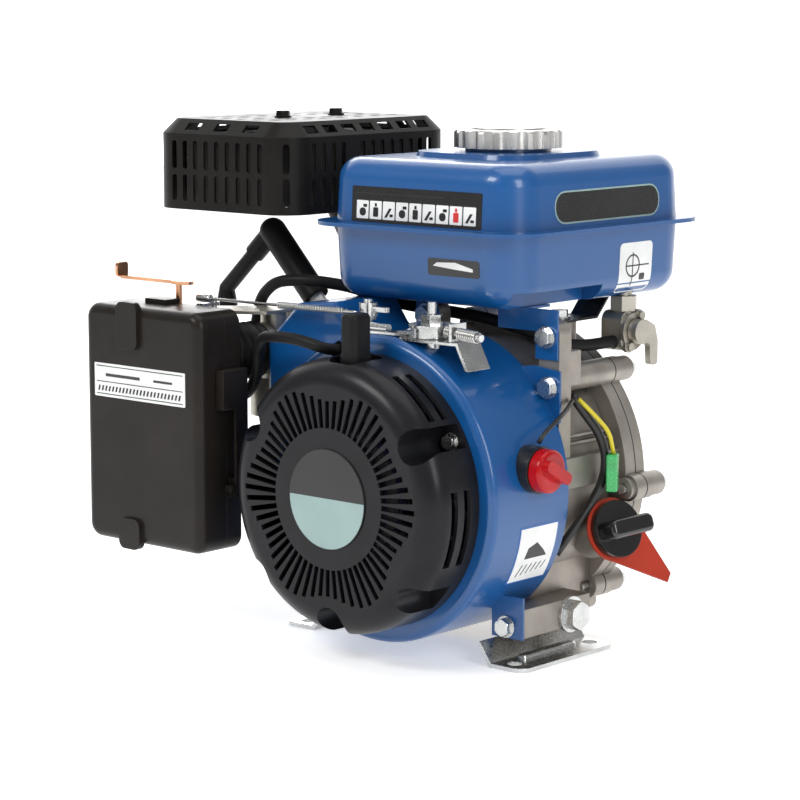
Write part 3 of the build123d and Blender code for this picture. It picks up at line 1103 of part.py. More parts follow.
# ---------------------------------------------------------------- every node
NODES = {
    "crankcase": crankcase, "crankcase_cover": crankcase_cover, "gaskets": gaskets,
    "m6_bolts": m6_bolts, "m5_bolts": m5_bolts, "main_bearings": main_bearings,
    "oil_seal": oil_seal, "crankshaft": crankshaft,
    "timing_gear": timing_gear, "camshaft": camshaft, "connecting_rod": connecting_rod,
    "rod_pins": rod_pins, "piston": piston, "cylinder_head": cylinder_head,
    "rocker_cover": rocker_cover, "flywheel": flywheel, "cooling_fan": cooling_fan,
    "starter_cup": starter_cup, "flywheel_nut": flywheel_nut, "fan_shroud": fan_shroud,
    "ignition_coil": ignition_coil, "recoil_cover": recoil_cover, "recoil_badge": recoil_badge,
    "recoil_pulley": recoil_pulley, "recoil_spring": recoil_spring, "rope_turns": rope_turns,
    "pull_rope": pull_rope, "starter_handle": starter_handle, "tank_upper": tank_upper,
    "tank_lower": tank_lower, "tank_brackets": tank_brackets, "fuel_cap": fuel_cap,
    "fuel_cock": fuel_cock, "fuel_cock_lever": fuel_cock_lever, "fuel_hose": fuel_hose,
    "carburettor": carburettor, "intake_bellows": intake_bellows, "choke_lever": choke_lever,
    "throttle_arm": throttle_arm, "governor_arm": governor_arm, "governor_link": governor_link,
    "control_bracket": control_bracket, "control_lever": control_lever,
    "air_cleaner_cover": air_cleaner_cover, "air_cleaner_base": air_cleaner_base,
    "air_filter": air_filter, "air_cleaner_clip": air_cleaner_clip, "muffler": muffler,
    "muffler_guard": muffler_guard, "spark_plug": spark_plug, "plug_cap": plug_cap,
    "ignition_lead": ignition_lead, "base_feet": base_feet, "drain_plug": drain_plug,
    "stop_switch": stop_switch, "stop_knob": stop_knob, "dipstick": dipstick,
    "warning_tag": warning_tag, "wiring": wiring,
}

os.makedirs("parts", exist_ok=True)
for name, make in NODES.items():
    made = make()
    solids = made if isinstance(made, list) else [made]
    solids = [solid for piece in solids for solid in piece.solids()]
    shape = solids[0] if len(solids) == 1 else Compound(children=solids)
    export_step(shape, f"parts/{name}.step")
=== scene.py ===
"""Looks for the small gasoline engine: materials, labels, springs, rubber parts, studio and camera."""
import json
import math

import bmesh
import bpy
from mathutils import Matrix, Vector
from mathutils.bvhtree import BVHTree


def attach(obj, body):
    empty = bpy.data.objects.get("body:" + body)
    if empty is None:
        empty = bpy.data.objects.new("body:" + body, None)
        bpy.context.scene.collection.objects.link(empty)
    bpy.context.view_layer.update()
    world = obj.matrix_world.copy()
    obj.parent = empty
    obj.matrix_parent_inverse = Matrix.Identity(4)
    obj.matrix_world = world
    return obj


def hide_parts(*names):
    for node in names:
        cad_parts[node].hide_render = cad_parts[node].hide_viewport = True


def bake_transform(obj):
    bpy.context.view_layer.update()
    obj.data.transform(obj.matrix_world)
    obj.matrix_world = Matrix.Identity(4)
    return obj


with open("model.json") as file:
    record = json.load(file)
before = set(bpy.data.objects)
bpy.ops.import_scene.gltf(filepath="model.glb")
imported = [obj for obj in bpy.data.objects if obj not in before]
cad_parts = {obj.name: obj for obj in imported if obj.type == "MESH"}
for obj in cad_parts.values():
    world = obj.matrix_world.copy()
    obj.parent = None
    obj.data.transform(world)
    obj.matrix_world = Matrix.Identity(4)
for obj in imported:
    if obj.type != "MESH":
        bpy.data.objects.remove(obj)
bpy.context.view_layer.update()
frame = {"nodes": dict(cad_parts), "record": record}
NODES = frame["nodes"]
MM = 0.001
BLOCK = "engine_block"

CRANK_Z = 98.0
SHROUD_R = 90.0
CARB_X, CARB_Z = -117.0, 168.0
HANDLE_X, HANDLE_Y = 3.0, -84.0
CAP_X, CAP_Y = -0.5, 56.2

# the camera's place and the way it looks, in metres
CAMERA_AT = (1.0304, -1.2073, 0.3832)
CAMERA_ALONG = Vector((-0.6552, 0.7405, -0.1495))
BACKDROP_DISTANCE = 4.5

SATIN = 0.15              # specular level of the matt black plastics


# ---------------------------------------------------------------- node materials
class Tree:
    """A material's nodes, added one at a time. An input that is a socket is linked, any other is set."""

    def __init__(self, name):
        self.material = bpy.data.materials.new(name)
        self.material.use_nodes = True
        self.tree = self.material.node_tree
        self.bsdf = self.tree.nodes["Principled BSDF"]
        self.coords = self.tree.nodes.new("ShaderNodeTexCoord").outputs["Object"]

    def put(self, node, name, value):
        if isinstance(value, bpy.types.NodeSocket):
            self.tree.links.new(value, node.inputs[name])
        else:
            node.inputs[name].default_value = value

    def add(self, kind, inputs, **settings):
        node = self.tree.nodes.new(kind)
        for key, value in settings.items():
            setattr(node, key, value)
        for key, value in inputs.items():
            self.put(node, key, value)
        return node

    def noise(self, scale, detail=3.0, stretch=(1, 1, 1), rough=0.5):
        mapped = self.add("ShaderNodeMapping", {"Vector": self.coords, "Scale": stretch}).outputs[0]
        node = self.add("ShaderNodeTexNoise", {"Vector": mapped, "Scale": scale, "Detail": detail,
                                               "Roughness": rough})
        return node.outputs["Fac"]

    def between(self, value, low, high, from_low=0.3, from_high=0.7):
        node = self.add("ShaderNodeMapRange", {"Value": value, "From Min": from_low,
                                               "From Max": from_high, "To Min": low, "To Max": high})
        return node.outputs["Result"]

    def mix(self, factor, a, b, blend="MIX"):
        node = self.tree.nodes.new("ShaderNodeMix")
        node.data_type = "RGBA"
        node.blend_type = blend
        for index, value in ((0, factor), (6, a), (7, b)):
            if isinstance(value, bpy.types.NodeSocket):
                self.tree.links.new(value, node.inputs[index])
            else:
                node.inputs[index].default_value = value
        return node.outputs[2]

    def bump(self, height, depth, normal=None):
        node = self.add("ShaderNodeBump", {"Height": height, "Distance": depth, "Strength": 1.0})
        if normal is not None:
            self.put(node, "Normal", normal)
        return node.outputs[0]

    def soft_edges(self, radius):
        return self.add("ShaderNodeBevel", {"Radius": radius}, samples=4).outputs[0]


def shade(colour, factor):
    return tuple(min(1.0, c * factor) for c in colour) + (1.0,)


def finish(name, colour, rough, metal=0.0, tone=0.08, tone_scale=45, grain=900, depth=0.02, vary=0.06,
           stretch=(1, 1, 1), coat=0.0, coat_rough=0.04, edge=0.35, crevice_shade=0.0, sheen=0.0, clear=0.0,
           spec=0.5):
    """A surface with cloudy tone, fine grain in bump and roughness, softened edges and, where asked, painted
    shade darkening its crevices from ambient occlusion.
    depth and edge are in millimetres."""
    t = Tree(name)
    cloud = t.noise(tone_scale, 4.0, stretch)
    base = t.mix(t.between(cloud, 0.0, 1.0), shade(colour, 1 - tone), shade(colour, 1 + tone))
    if crevice_shade:
        # painted shade: ambient occlusion darkens crevices and recesses towards a fifth of the colour
        hidden = t.add("ShaderNodeAmbientOcclusion", {"Distance": 0.007}, samples=4).outputs["AO"]
        crevice_shade_mask = t.between(hidden, crevice_shade, 0.0, 0.25, 0.8)
        base = t.mix(crevice_shade_mask, base, shade(colour, 0.22))
    t.put(t.bsdf, "Base Color", base)
    fine = t.noise(grain, 3.0, stretch)
    smudge = t.noise(24, 5.0, rough=0.65)
    both = t.add("ShaderNodeMath", {0: fine, 1: smudge}, operation="MULTIPLY").outputs[0]
    t.put(t.bsdf, "Roughness", t.between(both, max(0.02, rough - vary), rough + vary, 0.1, 0.4))
    normal = t.soft_edges(edge * MM) if edge else None
    t.put(t.bsdf, "Normal", t.bump(fine, depth * MM, normal))
    t.bsdf.inputs["Metallic"].default_value = metal
    t.bsdf.inputs["Specular IOR Level"].default_value = spec
    t.bsdf.inputs["Coat Weight"].default_value = coat
    t.bsdf.inputs["Coat Roughness"].default_value = coat_rough
    t.bsdf.inputs["Sheen Weight"].default_value = sheen
    t.bsdf.inputs["Transmission Weight"].default_value = clear
    return t.material


def spun_steel(name, centre):
    """Steel brushed round a vertical axis through centre, in millimetres."""
    t = Tree(name)
    x, y = centre
    moved = t.add("ShaderNodeMapping", {"Vector": t.coords, "Location": (-x * MM, -y * MM, 0)}).outputs[0]
    rings = t.add("ShaderNodeTexWave", {"Vector": moved, "Scale": 520.0, "Distortion": 2.0, "Detail": 3.0,
                                        "Detail Scale": 2.0}, wave_type="RINGS", rings_direction="Z")
    cloud = t.noise(60)
    t.put(t.bsdf, "Base Color", t.mix(t.between(cloud, 0, 1), (0.62, 0.60, 0.57, 1), (0.80, 0.79, 0.77, 1)))
    t.put(t.bsdf, "Roughness", t.between(rings.outputs["Fac"], 0.20, 0.34, 0, 1))
    t.put(t.bsdf, "Normal", t.bump(rings.outputs["Fac"], 0.015 * MM, t.soft_edges(0.5 * MM)))
    t.bsdf.inputs["Metallic"].default_value = 1.0
    return t.material


BLUE = (0.003, 0.080, 0.27)
LOOKS = {
    # cast_alloy, zinc_steel and zinc_cast get painted shade in their crevices from their last argument
    "cast_alloy": finish("cast_alloy", (0.36, 0.33, 0.295), 0.46, 0.75, 0.16, 55, 1500, 0.05, 0.10,
                         edge=0.8, crevice_shade=0.75),
    "gasket_black": finish("gasket_black", (0.02, 0.02, 0.02), 0.8, depth=0.03),
    "zinc_steel": finish("zinc_steel", (0.66, 0.67, 0.66), 0.25, 1.0, 0.12, 90, 700, 0.012, 0.08,
                         edge=0.4, crevice_shade=0.15),
    "ground_steel": finish("ground_steel", (0.55, 0.55, 0.55), 0.22, 1.0, 0.06, 60, 600, 0.006,
                           stretch=(1, 14, 1)),
    "piston_alloy": finish("piston_alloy", (0.68, 0.68, 0.69), 0.3, 1.0, 0.06, grain=500, depth=0.01),
    "flywheel_iron": finish("flywheel_iron", (0.30, 0.30, 0.31), 0.42, 0.9, 0.1, grain=800),
    "fan_plastic": finish("fan_plastic", (0.020, 0.018, 0.050), 0.38, grain=1400, depth=0.02),
    "shroud_blue": finish("shroud_blue", BLUE, 0.32, 0.0, 0.05, 20, 420, 0.006, 0.03, coat=0.45,
                          coat_rough=0.05, edge=0.6),
    "tank_blue": finish("tank_blue", BLUE, 0.32, 0.0, 0.05, 20, 380, 0.006, 0.03, coat=0.45,
                        coat_rough=0.04, edge=0.6),
    "starter_black": finish("starter_black", (0.010, 0.010, 0.012), 0.34, 0.0, 0.2, 50, 1300, 0.03, 0.07,
                            coat=0.15, coat_rough=0.2, edge=0.5, spec=SATIN),
    "badge": finish("badge", (0.012, 0.012, 0.013), 0.35, grain=900, depth=0.005),
    "spring_steel": finish("spring_steel", (0.62, 0.62, 0.60), 0.24, 1.0, grain=900, depth=0.008, edge=0.1),
    "rope": finish("rope", (0.03, 0.03, 0.03), 0.85, grain=1800, depth=0.25, sheen=0.3),
    "handle_black": finish("handle_black", (0.012, 0.012, 0.013), 0.42, 0.0, 0.2, grain=1700, depth=0.03,
                           edge=0.6, spec=SATIN),
    "bracket_black": finish("bracket_black", (0.015, 0.015, 0.016), 0.4, depth=0.02),
    "cap_steel": spun_steel("cap_steel", (CAP_X, CAP_Y)),
    "zinc_cast": finish("zinc_cast", (0.50, 0.47, 0.41), 0.36, 0.85, 0.12, 80, 1300, 0.03, 0.1, edge=0.6,
                        crevice_shade=0.5),
    "hose_black": finish("hose_black", (0.012, 0.012, 0.012), 0.48, depth=0.03, grain=1200, spec=SATIN),
    "choke_copper": finish("choke_copper", (0.80, 0.42, 0.24), 0.22, 1.0, 0.2, 50, 700, 0.01, edge=0.3),
    "box_black": finish("box_black", (0.016, 0.013, 0.011), 0.33, 0.0, 0.2, 30, 1500, 0.03, 0.08,
                        coat=0.1, coat_rough=0.25, edge=0.6, spec=SATIN),
    "filter_foam": finish("filter_foam", (0.20, 0.20, 0.19), 0.95, grain=700, depth=0.5),
    "muffler_steel": finish("muffler_steel", (0.035, 0.030, 0.028), 0.6, 0.2, 0.3, depth=0.05),
    "guard_black": finish("guard_black", (0.012, 0.011, 0.010), 0.40, 0.1, 0.25, 40, 1500, 0.035, 0.09,
                          edge=0.5, spec=SATIN),
    "plug_ceramic": finish("plug_ceramic", (0.80, 0.79, 0.75), 0.2, coat=0.8),
    "boot_black": finish("boot_black", (0.012, 0.012, 0.012), 0.45, grain=1500, depth=0.03, edge=0.4,
                         spec=SATIN),
    "coil_black": finish("coil_black", (0.03, 0.03, 0.03), 0.5, depth=0.04),
    "switch_black": finish("switch_black", (0.012, 0.012, 0.012), 0.3, edge=0.5),
    "knob_red": finish("knob_red", (0.42, 0.004, 0.006), 0.25, 0.0, 0.15, 60, 900, 0.01, coat=0.3, edge=0.7,
                       spec=0.2),
    "dipstick_black": finish("dipstick_black", (0.008, 0.008, 0.008), 0.16, 0.0, 0.2, coat=0.6, edge=0.8,
                             depth=0.01),
    "tag_red": finish("tag_red", (0.45, 0.036, 0.014), 0.38, 0.0, 0.08, grain=1200, depth=0.015),
    "wire_black": finish("wire_black", (0.012, 0.012, 0.012), 0.35, grain=900, depth=0.02, edge=0.1),
    "wire_yellow": finish("wire_yellow", (0.72, 0.60, 0.03), 0.35, grain=900, depth=0.02, edge=0.1),
    "green_clear": finish("green_clear", (0.05, 0.60, 0.16), 0.25, 0.0, 0.2, 120, 900, 0.02, coat=0.5,
                          clear=0.35),
    "label_white": finish("label_white", (0.80, 0.81, 0.80), 0.32, grain=1200, depth=0.004, edge=0,
                          coat=0.2),
    "label_black": finish("label_black", (0.006, 0.006, 0.007), 0.28, grain=1200, depth=0.004, edge=0,
                          coat=0.3),
    "label_grey": finish("label_grey", (0.018, 0.018, 0.019), 0.35, grain=1200, depth=0.004, edge=0),
    "label_mint": finish("label_mint", (0.29, 0.41, 0.40), 0.35, grain=1200, depth=0.004, edge=0),
    "label_red": finish("label_red", (0.60, 0.03, 0.03), 0.35, grain=1200, depth=0.004, edge=0),
    "label_blue": finish("label_blue", (0.02, 0.12, 0.40), 0.35, grain=1200, depth=0.004, edge=0),
}

slot_of = {part["node"]: part["material_slot"] for part in frame["record"]["subparts"]}
for node_name, node_object in NODES.items():
    node_object.data.materials.clear()
    node_object.data.materials.append(LOOKS[slot_of[node_name]])


# ---------------------------------------------------------------- building pieces
def piece(name, mesh, look, body=BLOCK, smooth=True):
    """A new object from a mesh in row-frame metres, with its material, slot and body."""
    made = bpy.data.objects.new(name, mesh)
    bpy.context.scene.collection.objects.link(made)
    mesh.materials.clear()
    mesh.materials.append(LOOKS[look])
    for face in mesh.polygons:
        face.use_smooth = smooth
    if body:
        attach(made, body)
    return made


def mesh_from(bm, name):
    mesh = bpy.data.meshes.new(name)
    bmesh.ops.recalc_face_normals(bm, faces=bm.faces)
    bm.to_mesh(mesh)
    bm.free()
    return mesh


def loose_parts(node):
    """The separate solids of a CAD node, as bmeshes. They are found through sets, which have no fixed
    order, so they are sorted by their middles, to a tenth of a millimetre, and each run numbers them alike."""
    source = bmesh.new()
    source.from_mesh(NODES[node].data)
    bmesh.ops.remove_doubles(source, verts=source.verts, dist=1e-7)
    left = set(source.verts)
    groups = []
    while left:
        stack = [left.pop()]
        group = set(stack)
        while stack:
            for edge in stack.pop().link_edges:
                for vert in edge.verts:
                    if vert in left:
                        left.remove(vert)
                        group.add(vert)
                        stack.append(vert)
        groups.append(group)
    parts = []
    for group in groups:
        part = source.copy()
        keep = {v.index for v in group}
        part.verts.ensure_lookup_table()
        bmesh.ops.delete(part, geom=[v for v in part.verts if v.index not in keep], context="VERTS")
        parts.append(part)
    source.free()
    return sorted(parts, key=lambda part: [round(c, 1) for c in middle(part)[0]])


def middle(bm):
    low = Vector([min(v.co[k] for v in bm.verts) for k in range(3)])
    high = Vector([max(v.co[k] for v in bm.verts) for k in range(3)])
    return (low + high) / 2 / MM, (high - low) / MM


def sweep(name, points, radius, look, body=BLOCK, order=3, sides=6, replaced=None):
    """A round wire along a smooth curve whose control points are given in millimetres."""
    data = bpy.data.curves.new(name, "CURVE")
    data.dimensions = "3D"
    data.bevel_depth = radius * MM
    data.bevel_resolution = sides
    data.use_fill_caps = True
    spline = data.splines.new("NURBS")
    spline.points.add(len(points) - 1)
    for control, point in zip(spline.points, points):
        control.co = (*[c * MM for c in point], 1.0)
    spline.order_u = order
    spline.use_endpoint_u = True
    spline.resolution_u = 6
    holder = bpy.data.objects.new(name + "_curve", data)
    bpy.context.scene.collection.objects.link(holder)
    bpy.context.view_layer.update()
    mesh = bpy.data.meshes.new_from_object(holder.evaluated_get(bpy.context.evaluated_depsgraph_get()))
    bpy.data.objects.remove(holder)
    bm = bmesh.new()
    bm.from_mesh(mesh)
    bmesh.ops.remove_doubles(bm, verts=bm.verts, dist=1e-7)
    made = piece(name, mesh_from(bm, name), look, body)
    if replaced:
        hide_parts(replaced)
    return made


def helix(start, end, radius, turns, per_turn=10):
    """Control points of a coil from start to end."""
    start, end = Vector(start), Vector(end)
    along = (end - start).normalized()
    side = along.orthogonal().normalized()
    up = along.cross(side)
    points = []
    count = int(turns * per_turn)
    for k in range(count + 1):
        angle = 2 * math.pi * k / per_turn
        centre = start.lerp(end, k / count)
        points.append(centre + (side * math.cos(angle) + up * math.sin(angle)) * radius)
    return points


def lathe(name, profile, origin, axis, look, body=BLOCK, segments=64):
    """Turns a closed (distance along, radius) profile about an axis through origin, millimetres."""
    axis = Vector(axis).normalized()
    side = axis.orthogonal().normalized()
    up = axis.cross(side)
    bm = bmesh.new()
    rings = []
    for k in range(segments):
        angle = 2 * math.pi * k / segments
        out = side * math.cos(angle) + up * math.sin(angle)
        rings.append([bm.verts.new((Vector(origin) + axis * along + out * r) * MM)
                      for along, r in profile])
    size = len(profile)
    for k in range(segments):
        a, b = rings[k], rings[(k + 1) % segments]
        for i in range(size):
            j = (i + 1) % size
            bm.faces.new((a[i], a[j], b[j], b[i]))
    bmesh.ops.remove_doubles(bm, verts=bm.verts, dist=1e-8)
    return piece(name, mesh_from(bm, name), look, body)


def surface_of(*nodes):
    bm = bmesh.new()
    for node in nodes:
        bm.from_mesh(NODES[node].data)
    tree = BVHTree.FromBMesh(bm)
    bm.free()
    return tree


LABEL_T = 0.12


def label(name, outline, place, tree, look, body=BLOCK, layer=0, step=4.0):
    """A thin printed sheet, cut to a (u, v) outline in millimetres and laid on a surface.
    place(u, v) gives the start and direction of the ray that finds the surface."""
    bm = bmesh.new()
    bm.faces.new([bm.verts.new((u, v, 0)) for u, v in outline])
    for axis in (0, 1):
        low = min(p[axis] for p in outline)
        high = max(p[axis] for p in outline)
        cuts = int((high - low) / step)
        for k in range(1, cuts + 1):
            at = [0, 0, 0]
            normal = [0, 0, 0]
            at[axis] = low + (high - low) * k / (cuts + 1)
            normal[axis] = 1
            bmesh.ops.bisect_plane(bm, geom=bm.verts[:] + bm.edges[:] + bm.faces[:], plane_co=at,
                                   plane_no=normal)
    lift = LABEL_T * layer
    top = {}
    for vert in list(bm.verts):
        start, direction = place(vert.co.x, vert.co.y)
        hit, normal = tree.ray_cast(Vector(start) * MM, Vector(direction).normalized())[:2]
        if hit is None:
            raise RuntimeError(f"{name}: the ray at {tuple(vert.co)} misses the surface")
        if normal.dot(Vector(direction)) > 0:
            normal.negate()
        top[vert] = (hit, normal)
    for vert, (hit, normal) in top.items():
        vert.co = hit + normal * (lift + 0.02) * MM
    sheet = bm.faces[:]
    raised = bmesh.ops.extrude_face_region(bm, geom=sheet)
    out = Vector((0, 0, 0))
    for hit, normal in top.values():
        out += normal
    out.normalize()
    moved = [g for g in raised["geom"] if isinstance(g, bmesh.types.BMVert)]
    for vert in moved:
        vert.co += out * LABEL_T * MM
    made = piece(name, mesh_from(bm, name), look, body, smooth=False)
    return made


def rectangle(u0, v0, u1, v1, r=0.0, lean=0.0):
    """A rectangle with round corners; lean shifts its upper edge along u."""
    if r <= 0:
        return [(u0, v0), (u1, v0), (u1 + lean, v1), (u0 + lean, v1)]
    points = []
    for cu, cv, first in ((u1 - r, v0 + r, -90), (u1 - r, v1 - r, 0), (u0 + r, v1 - r, 90),
                          (u0 + r, v0 + r, 180)):
        for k in range(5):
            angle = math.radians(first + 22.5 * k)
            points.append((cu + r * math.cos(angle), cv + r * math.sin(angle)))
    return points


def from_front(u, v):
    return (u, -300.0, v), (0, 1, 0)


def from_right(u, v):
    return (300.0, u, v), (-1, 0, 0)


def onto_shroud(u, v):
    """u runs along the crankshaft and v up the round side, as an arc from the horizontal."""
    angle = v / SHROUD_R
    out = Vector((math.cos(angle), 0, math.sin(angle)))
    start = out * 150 + Vector((0, u, CRANK_Z))
    return start, -out


# ---------------------------------------------------------------- labels
tank = surface_of("tank_upper", "tank_lower")


def tank_strip():
    """Black strip on the tank's front with a row of plain white squares, each with a dark mark."""
    low, high = 249.0, 270.0
    label("strip_label", rectangle(-50, low, 50, high, 1), from_front, tank, "label_black")
    count, pitch, size = 9, 10.3, 9.3
    for k in range(count):
        u = -46.0 + pitch * k
        label(f"strip_square_{k}", rectangle(u, low + 2, u + size, low + 2 + size * 1.15, 0.6), from_front,
              tank, "label_white", layer=1)
        tone = "label_red" if k == 7 else "label_black"
        if k % 3 == 0:
            marks = [rectangle(u + 2.4, low + 3.6, u + 7.4, low + 8.4, 2.2),
                     rectangle(u + 5.2, low + 8.8, u + 8.2, low + 10.6, 0.6)]
        elif k % 3 == 1:
            marks = [rectangle(u + 2.8, low + 3.4, u + 6.8, low + 9.0, 0.8),
                     rectangle(u + 4.0, low + 9.4, u + 5.6, low + 11.4)]
        else:
            marks = [rectangle(u + 1.4, low + 3.4, u + 3.4, low + 8.8, 0, 3.6),
                     rectangle(u + 5.4, low + 3.8, u + 8.0, low + 5.4, 0.5)]
        for i, mark in enumerate(marks):
            label(f"strip_mark_{k}_{i}", mark, from_front, tank, tone, layer=2)
    label("strip_line", rectangle(-47, high - 4.4, 22, high - 3.7), from_front, tank, "label_grey",
          layer=1)


def tank_wedge():
    label("wedge_label", rectangle(9, 221, 48, 231, 1.5), from_front, tank, "label_black")
    label("wedge_mark", [(13, 226.6), (27, 225.4), (43, 224.4), (43, 226.2), (30, 229.2), (16, 228.6)],
          from_front, tank, "label_white", layer=1)


def tank_plates():
    """Plain black plate and white label on the tank's right side."""
    outer = rectangle(8, 251, 109, 270, 9)
    inner = rectangle(9.0, 252, 108, 269, 8.1)
    label("plate_border", outer, from_right, tank, "label_mint")
    label("plate_label", inner, from_right, tank, "label_black", layer=1)
    label("dial_label", rectangle(71, 206, 103, 236, 3), from_right, tank, "label_white")
    centre_u, centre_v = 84.0, 222.0
    for k in range(16):
        a, b = (math.radians(22.5 * k + d) for d in (0, 22.5))
        ring = [(centre_u + r * math.cos(t), centre_v + r * math.sin(t))
                for r, t in ((6.0, a), (7.0, a), (7.0, b), (6.0, b))]
        label(f"dial_ring_{k}", ring, from_right, tank, "label_black", layer=1)
    for k, bar in enumerate((rectangle(centre_u - 0.4, 210, centre_u + 0.4, 230),
                             rectangle(78, centre_v - 0.4, 100, centre_v + 0.4),
                             rectangle(91, 213, 96, 217, 0.8))):
        label(f"dial_bar_{k}", bar, from_right, tank, "label_black", layer=1)


def shroud_label():
    """White parallelogram with a thin blue border and a line drawing, on the round side."""
    shroud = surface_of("fan_shroud")
    u0, u1, v0, v1 = -37.0, -2.0, -53.0, -15.0
    label("side_border", rectangle(u0, v0, u1, v1, 0, -3), onto_shroud, shroud, "label_blue")
    label("side_label", rectangle(u0 + 1, v0 + 1, u1 - 1, v1 - 1, 0, -3), onto_shroud, shroud,
          "label_white", layer=1)
    steps = 6
    for k in range(steps):
        u = u0 + 5 + 4.2 * k
        low = v0 + 5 + 0.6 * k
        stroke = [(u, low), (u + 0.8, low), (u + 3, v0 + 13), (u + 2.2, v0 + 13)]
        label(f"side_line_{k}", stroke, onto_shroud, shroud, "label_black", layer=2)
    mark = [(u0 + 7, v0 + 17), (u1 - 8, v0 + 17), (u1 - 12, v0 + 21), (u0 + 15, v0 + 27), (u0 + 8, v0 + 24)]
    label("side_mark", mark, onto_shroud, shroud, "label_grey", layer=2)


def box_label():
    """White label with thin rules on the air cleaner's cover."""
    box = surface_of("air_cleaner_cover")
    body, slot = "box_cover", "box_black"
    u0, u1, v0, v1 = -191.0, -112.0, 139.5, 160.0
    label("box_label", rectangle(u0, v0, u1, v1, 0.8), from_front, box, "label_white", body)
    rules = [rectangle(u0 + 2, v1 - 2.0, u1 - 2, v1 - 1.5), rectangle(u0 + 2, v0 + 1.5, u1 - 2, v0 + 2.0),
             rectangle(u0 + 2, v0 + 9, u1 - 2, v0 + 9.5), rectangle(u0 + 10, v0 + 12.6, u0 + 40, v0 + 14.4),
             rectangle(u0 + 52, v0 + 12.6, u0 + 68, v0 + 14.0)]
    for k, rule in enumerate(rules):
        label(f"box_rule_{k}", rule, from_front, box, "label_black", body, layer=1)
    for k in range(24):
        u = u0 + 3 + 3.05 * k
        label(f"box_hatch_{k}", rectangle(u, v0 + 3.6, u + 1.4, v0 + 6.8, 0, 1.0), from_front, box,
              "label_grey", body, layer=1)


def badge_faces():
    """Two-tone front of the round badge: grey above, pale green below."""
    disc = surface_of("recoil_badge")
    r, split = 28.6, 0.5
    first = math.asin(split / r)

    def arc(a, b, count=24):
        return [(r * math.cos(a + (b - a) * k / count), CRANK_Z + r * math.sin(a + (b - a) * k / count))
                for k in range(count + 1)]
    upper = arc(first, math.pi - first)
    lower = arc(math.pi - first, 2 * math.pi + first)
    label("badge_upper", upper, from_front, disc, "label_grey", step=60)
    label("badge_lower", lower, from_front, disc, "label_mint", step=60)


tank_strip()
tank_wedge()
tank_plates()
shroud_label()
box_label()
badge_faces()


# ---------------------------------------------------------------- rubber, wires and springs
def bellows():
    """Duct with round folds between the air cleaner and the carburettor."""
    y0, y1, folds = -74.0, -42.0, 5
    outer = []
    per_fold = 12
    for k in range(folds * per_fold + 1):
        share = k / (folds * per_fold)
        fold = (0.5 + 0.5 * math.cos(2 * math.pi * share * folds)) ** 0.6
        outer.append((share * (y1 - y0), 17.4 - 3.4 * fold))
    inner = [(y1 - y0, 9.2), (0.0, 9.2)]
    made = lathe("bellows", outer + inner, (CARB_X, y0, CARB_Z), (0, 1, 0), "hose_black")
    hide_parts("intake_bellows")


def wire_kind(part):
    """0 for the green connector, 1 for a black wire, 2 for the yellow wire."""
    at, size = middle(part)
    if size.y < 16 and size.z < 30:
        return 0
    return 2 if at.y > 25 and size.z < 50 else 1


def wires():
    """The wiring's solids as separate pieces: the green connector, the black wires, then the yellow one."""
    for k, part in enumerate(sorted(loose_parts("wiring"), key=wire_kind)):
        kind = wire_kind(part)
        name = ("connector", f"black_wire_{k}", "yellow_wire")[kind]
        look = ("green_clear", "wire_black", "wire_yellow")[kind]
        made = piece(name, mesh_from(part, name), look, smooth=name != "connector")
        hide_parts("wiring")


def guard_bolts():
    """The small bolts: black on the muffler guard, bright on the recoil starter."""
    for k, part in enumerate(loose_parts("m5_bolts")):
        at = middle(part)[0]
        look = "guard_black" if at.z > 280 else "zinc_steel"
        made = piece(f"small_bolt_{k}", mesh_from(part, f"small_bolt_{k}"), look, smooth=False)
        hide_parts("m5_bolts")


def brackets():
    """The tank's brackets: the two front ones in the shroud's blue, the rear strut black."""
    for k, part in enumerate(loose_parts("tank_brackets")):
        look = "bracket_black" if middle(part)[0].y > 50 else "shroud_blue"
        made = piece(f"bracket_{k}", mesh_from(part, f"bracket_{k}"), look, smooth=False)
        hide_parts("tank_brackets")


def linkage():
    """The governor's wire link with its ferrule and its fine spring."""
    body, slot = "link", "spring_steel"
    left, right = Vector((-146, -64, 199)), Vector((-22, -56, 199))
    along = (right - left).normalized()
    route = [left, left.lerp(right, 0.3), left.lerp(right, 0.7), right - along * 2, right,
             right - Vector((0, 0, 3))]
    sweep("link_rod", route, 0.9, "spring_steel", body, replaced="governor_link")
    ferrule = [(0, 0.95), (0, 2.3), (1.0, 2.5), (9.5, 2.5), (10.5, 2.3), (10.5, 0.95)]
    lathe("link_ferrule", ferrule, left + along * 0.5, along, "zinc_steel", body, 24)
    start, end = left.lerp(right, 0.52), left.lerp(right, 0.93)
    sweep("link_spring", helix(start, end, 1.9, 26, 8), 0.4, "spring_steel", body, sides=3)


def idle_spring():
    """Coil spring round the idle screw on the control bracket."""
    z = CRANK_Z + math.sqrt(SHROUD_R**2 - 29**2) + 3.0
    start = Vector((45.5, -54, z + 6.9))
    end = Vector((52, -54, z + 6.4))
    sweep("idle_spring", helix(start, end, 3.2, 5, 10), 0.55, "spring_steel", sides=3)
    start = Vector((54.5, -54, z + 6.2))
    end = Vector((68, -54, z + 5.2))
    sweep("idle_spring_long", helix(start, end, 3.2, 9, 10), 0.55, "spring_steel", sides=3)


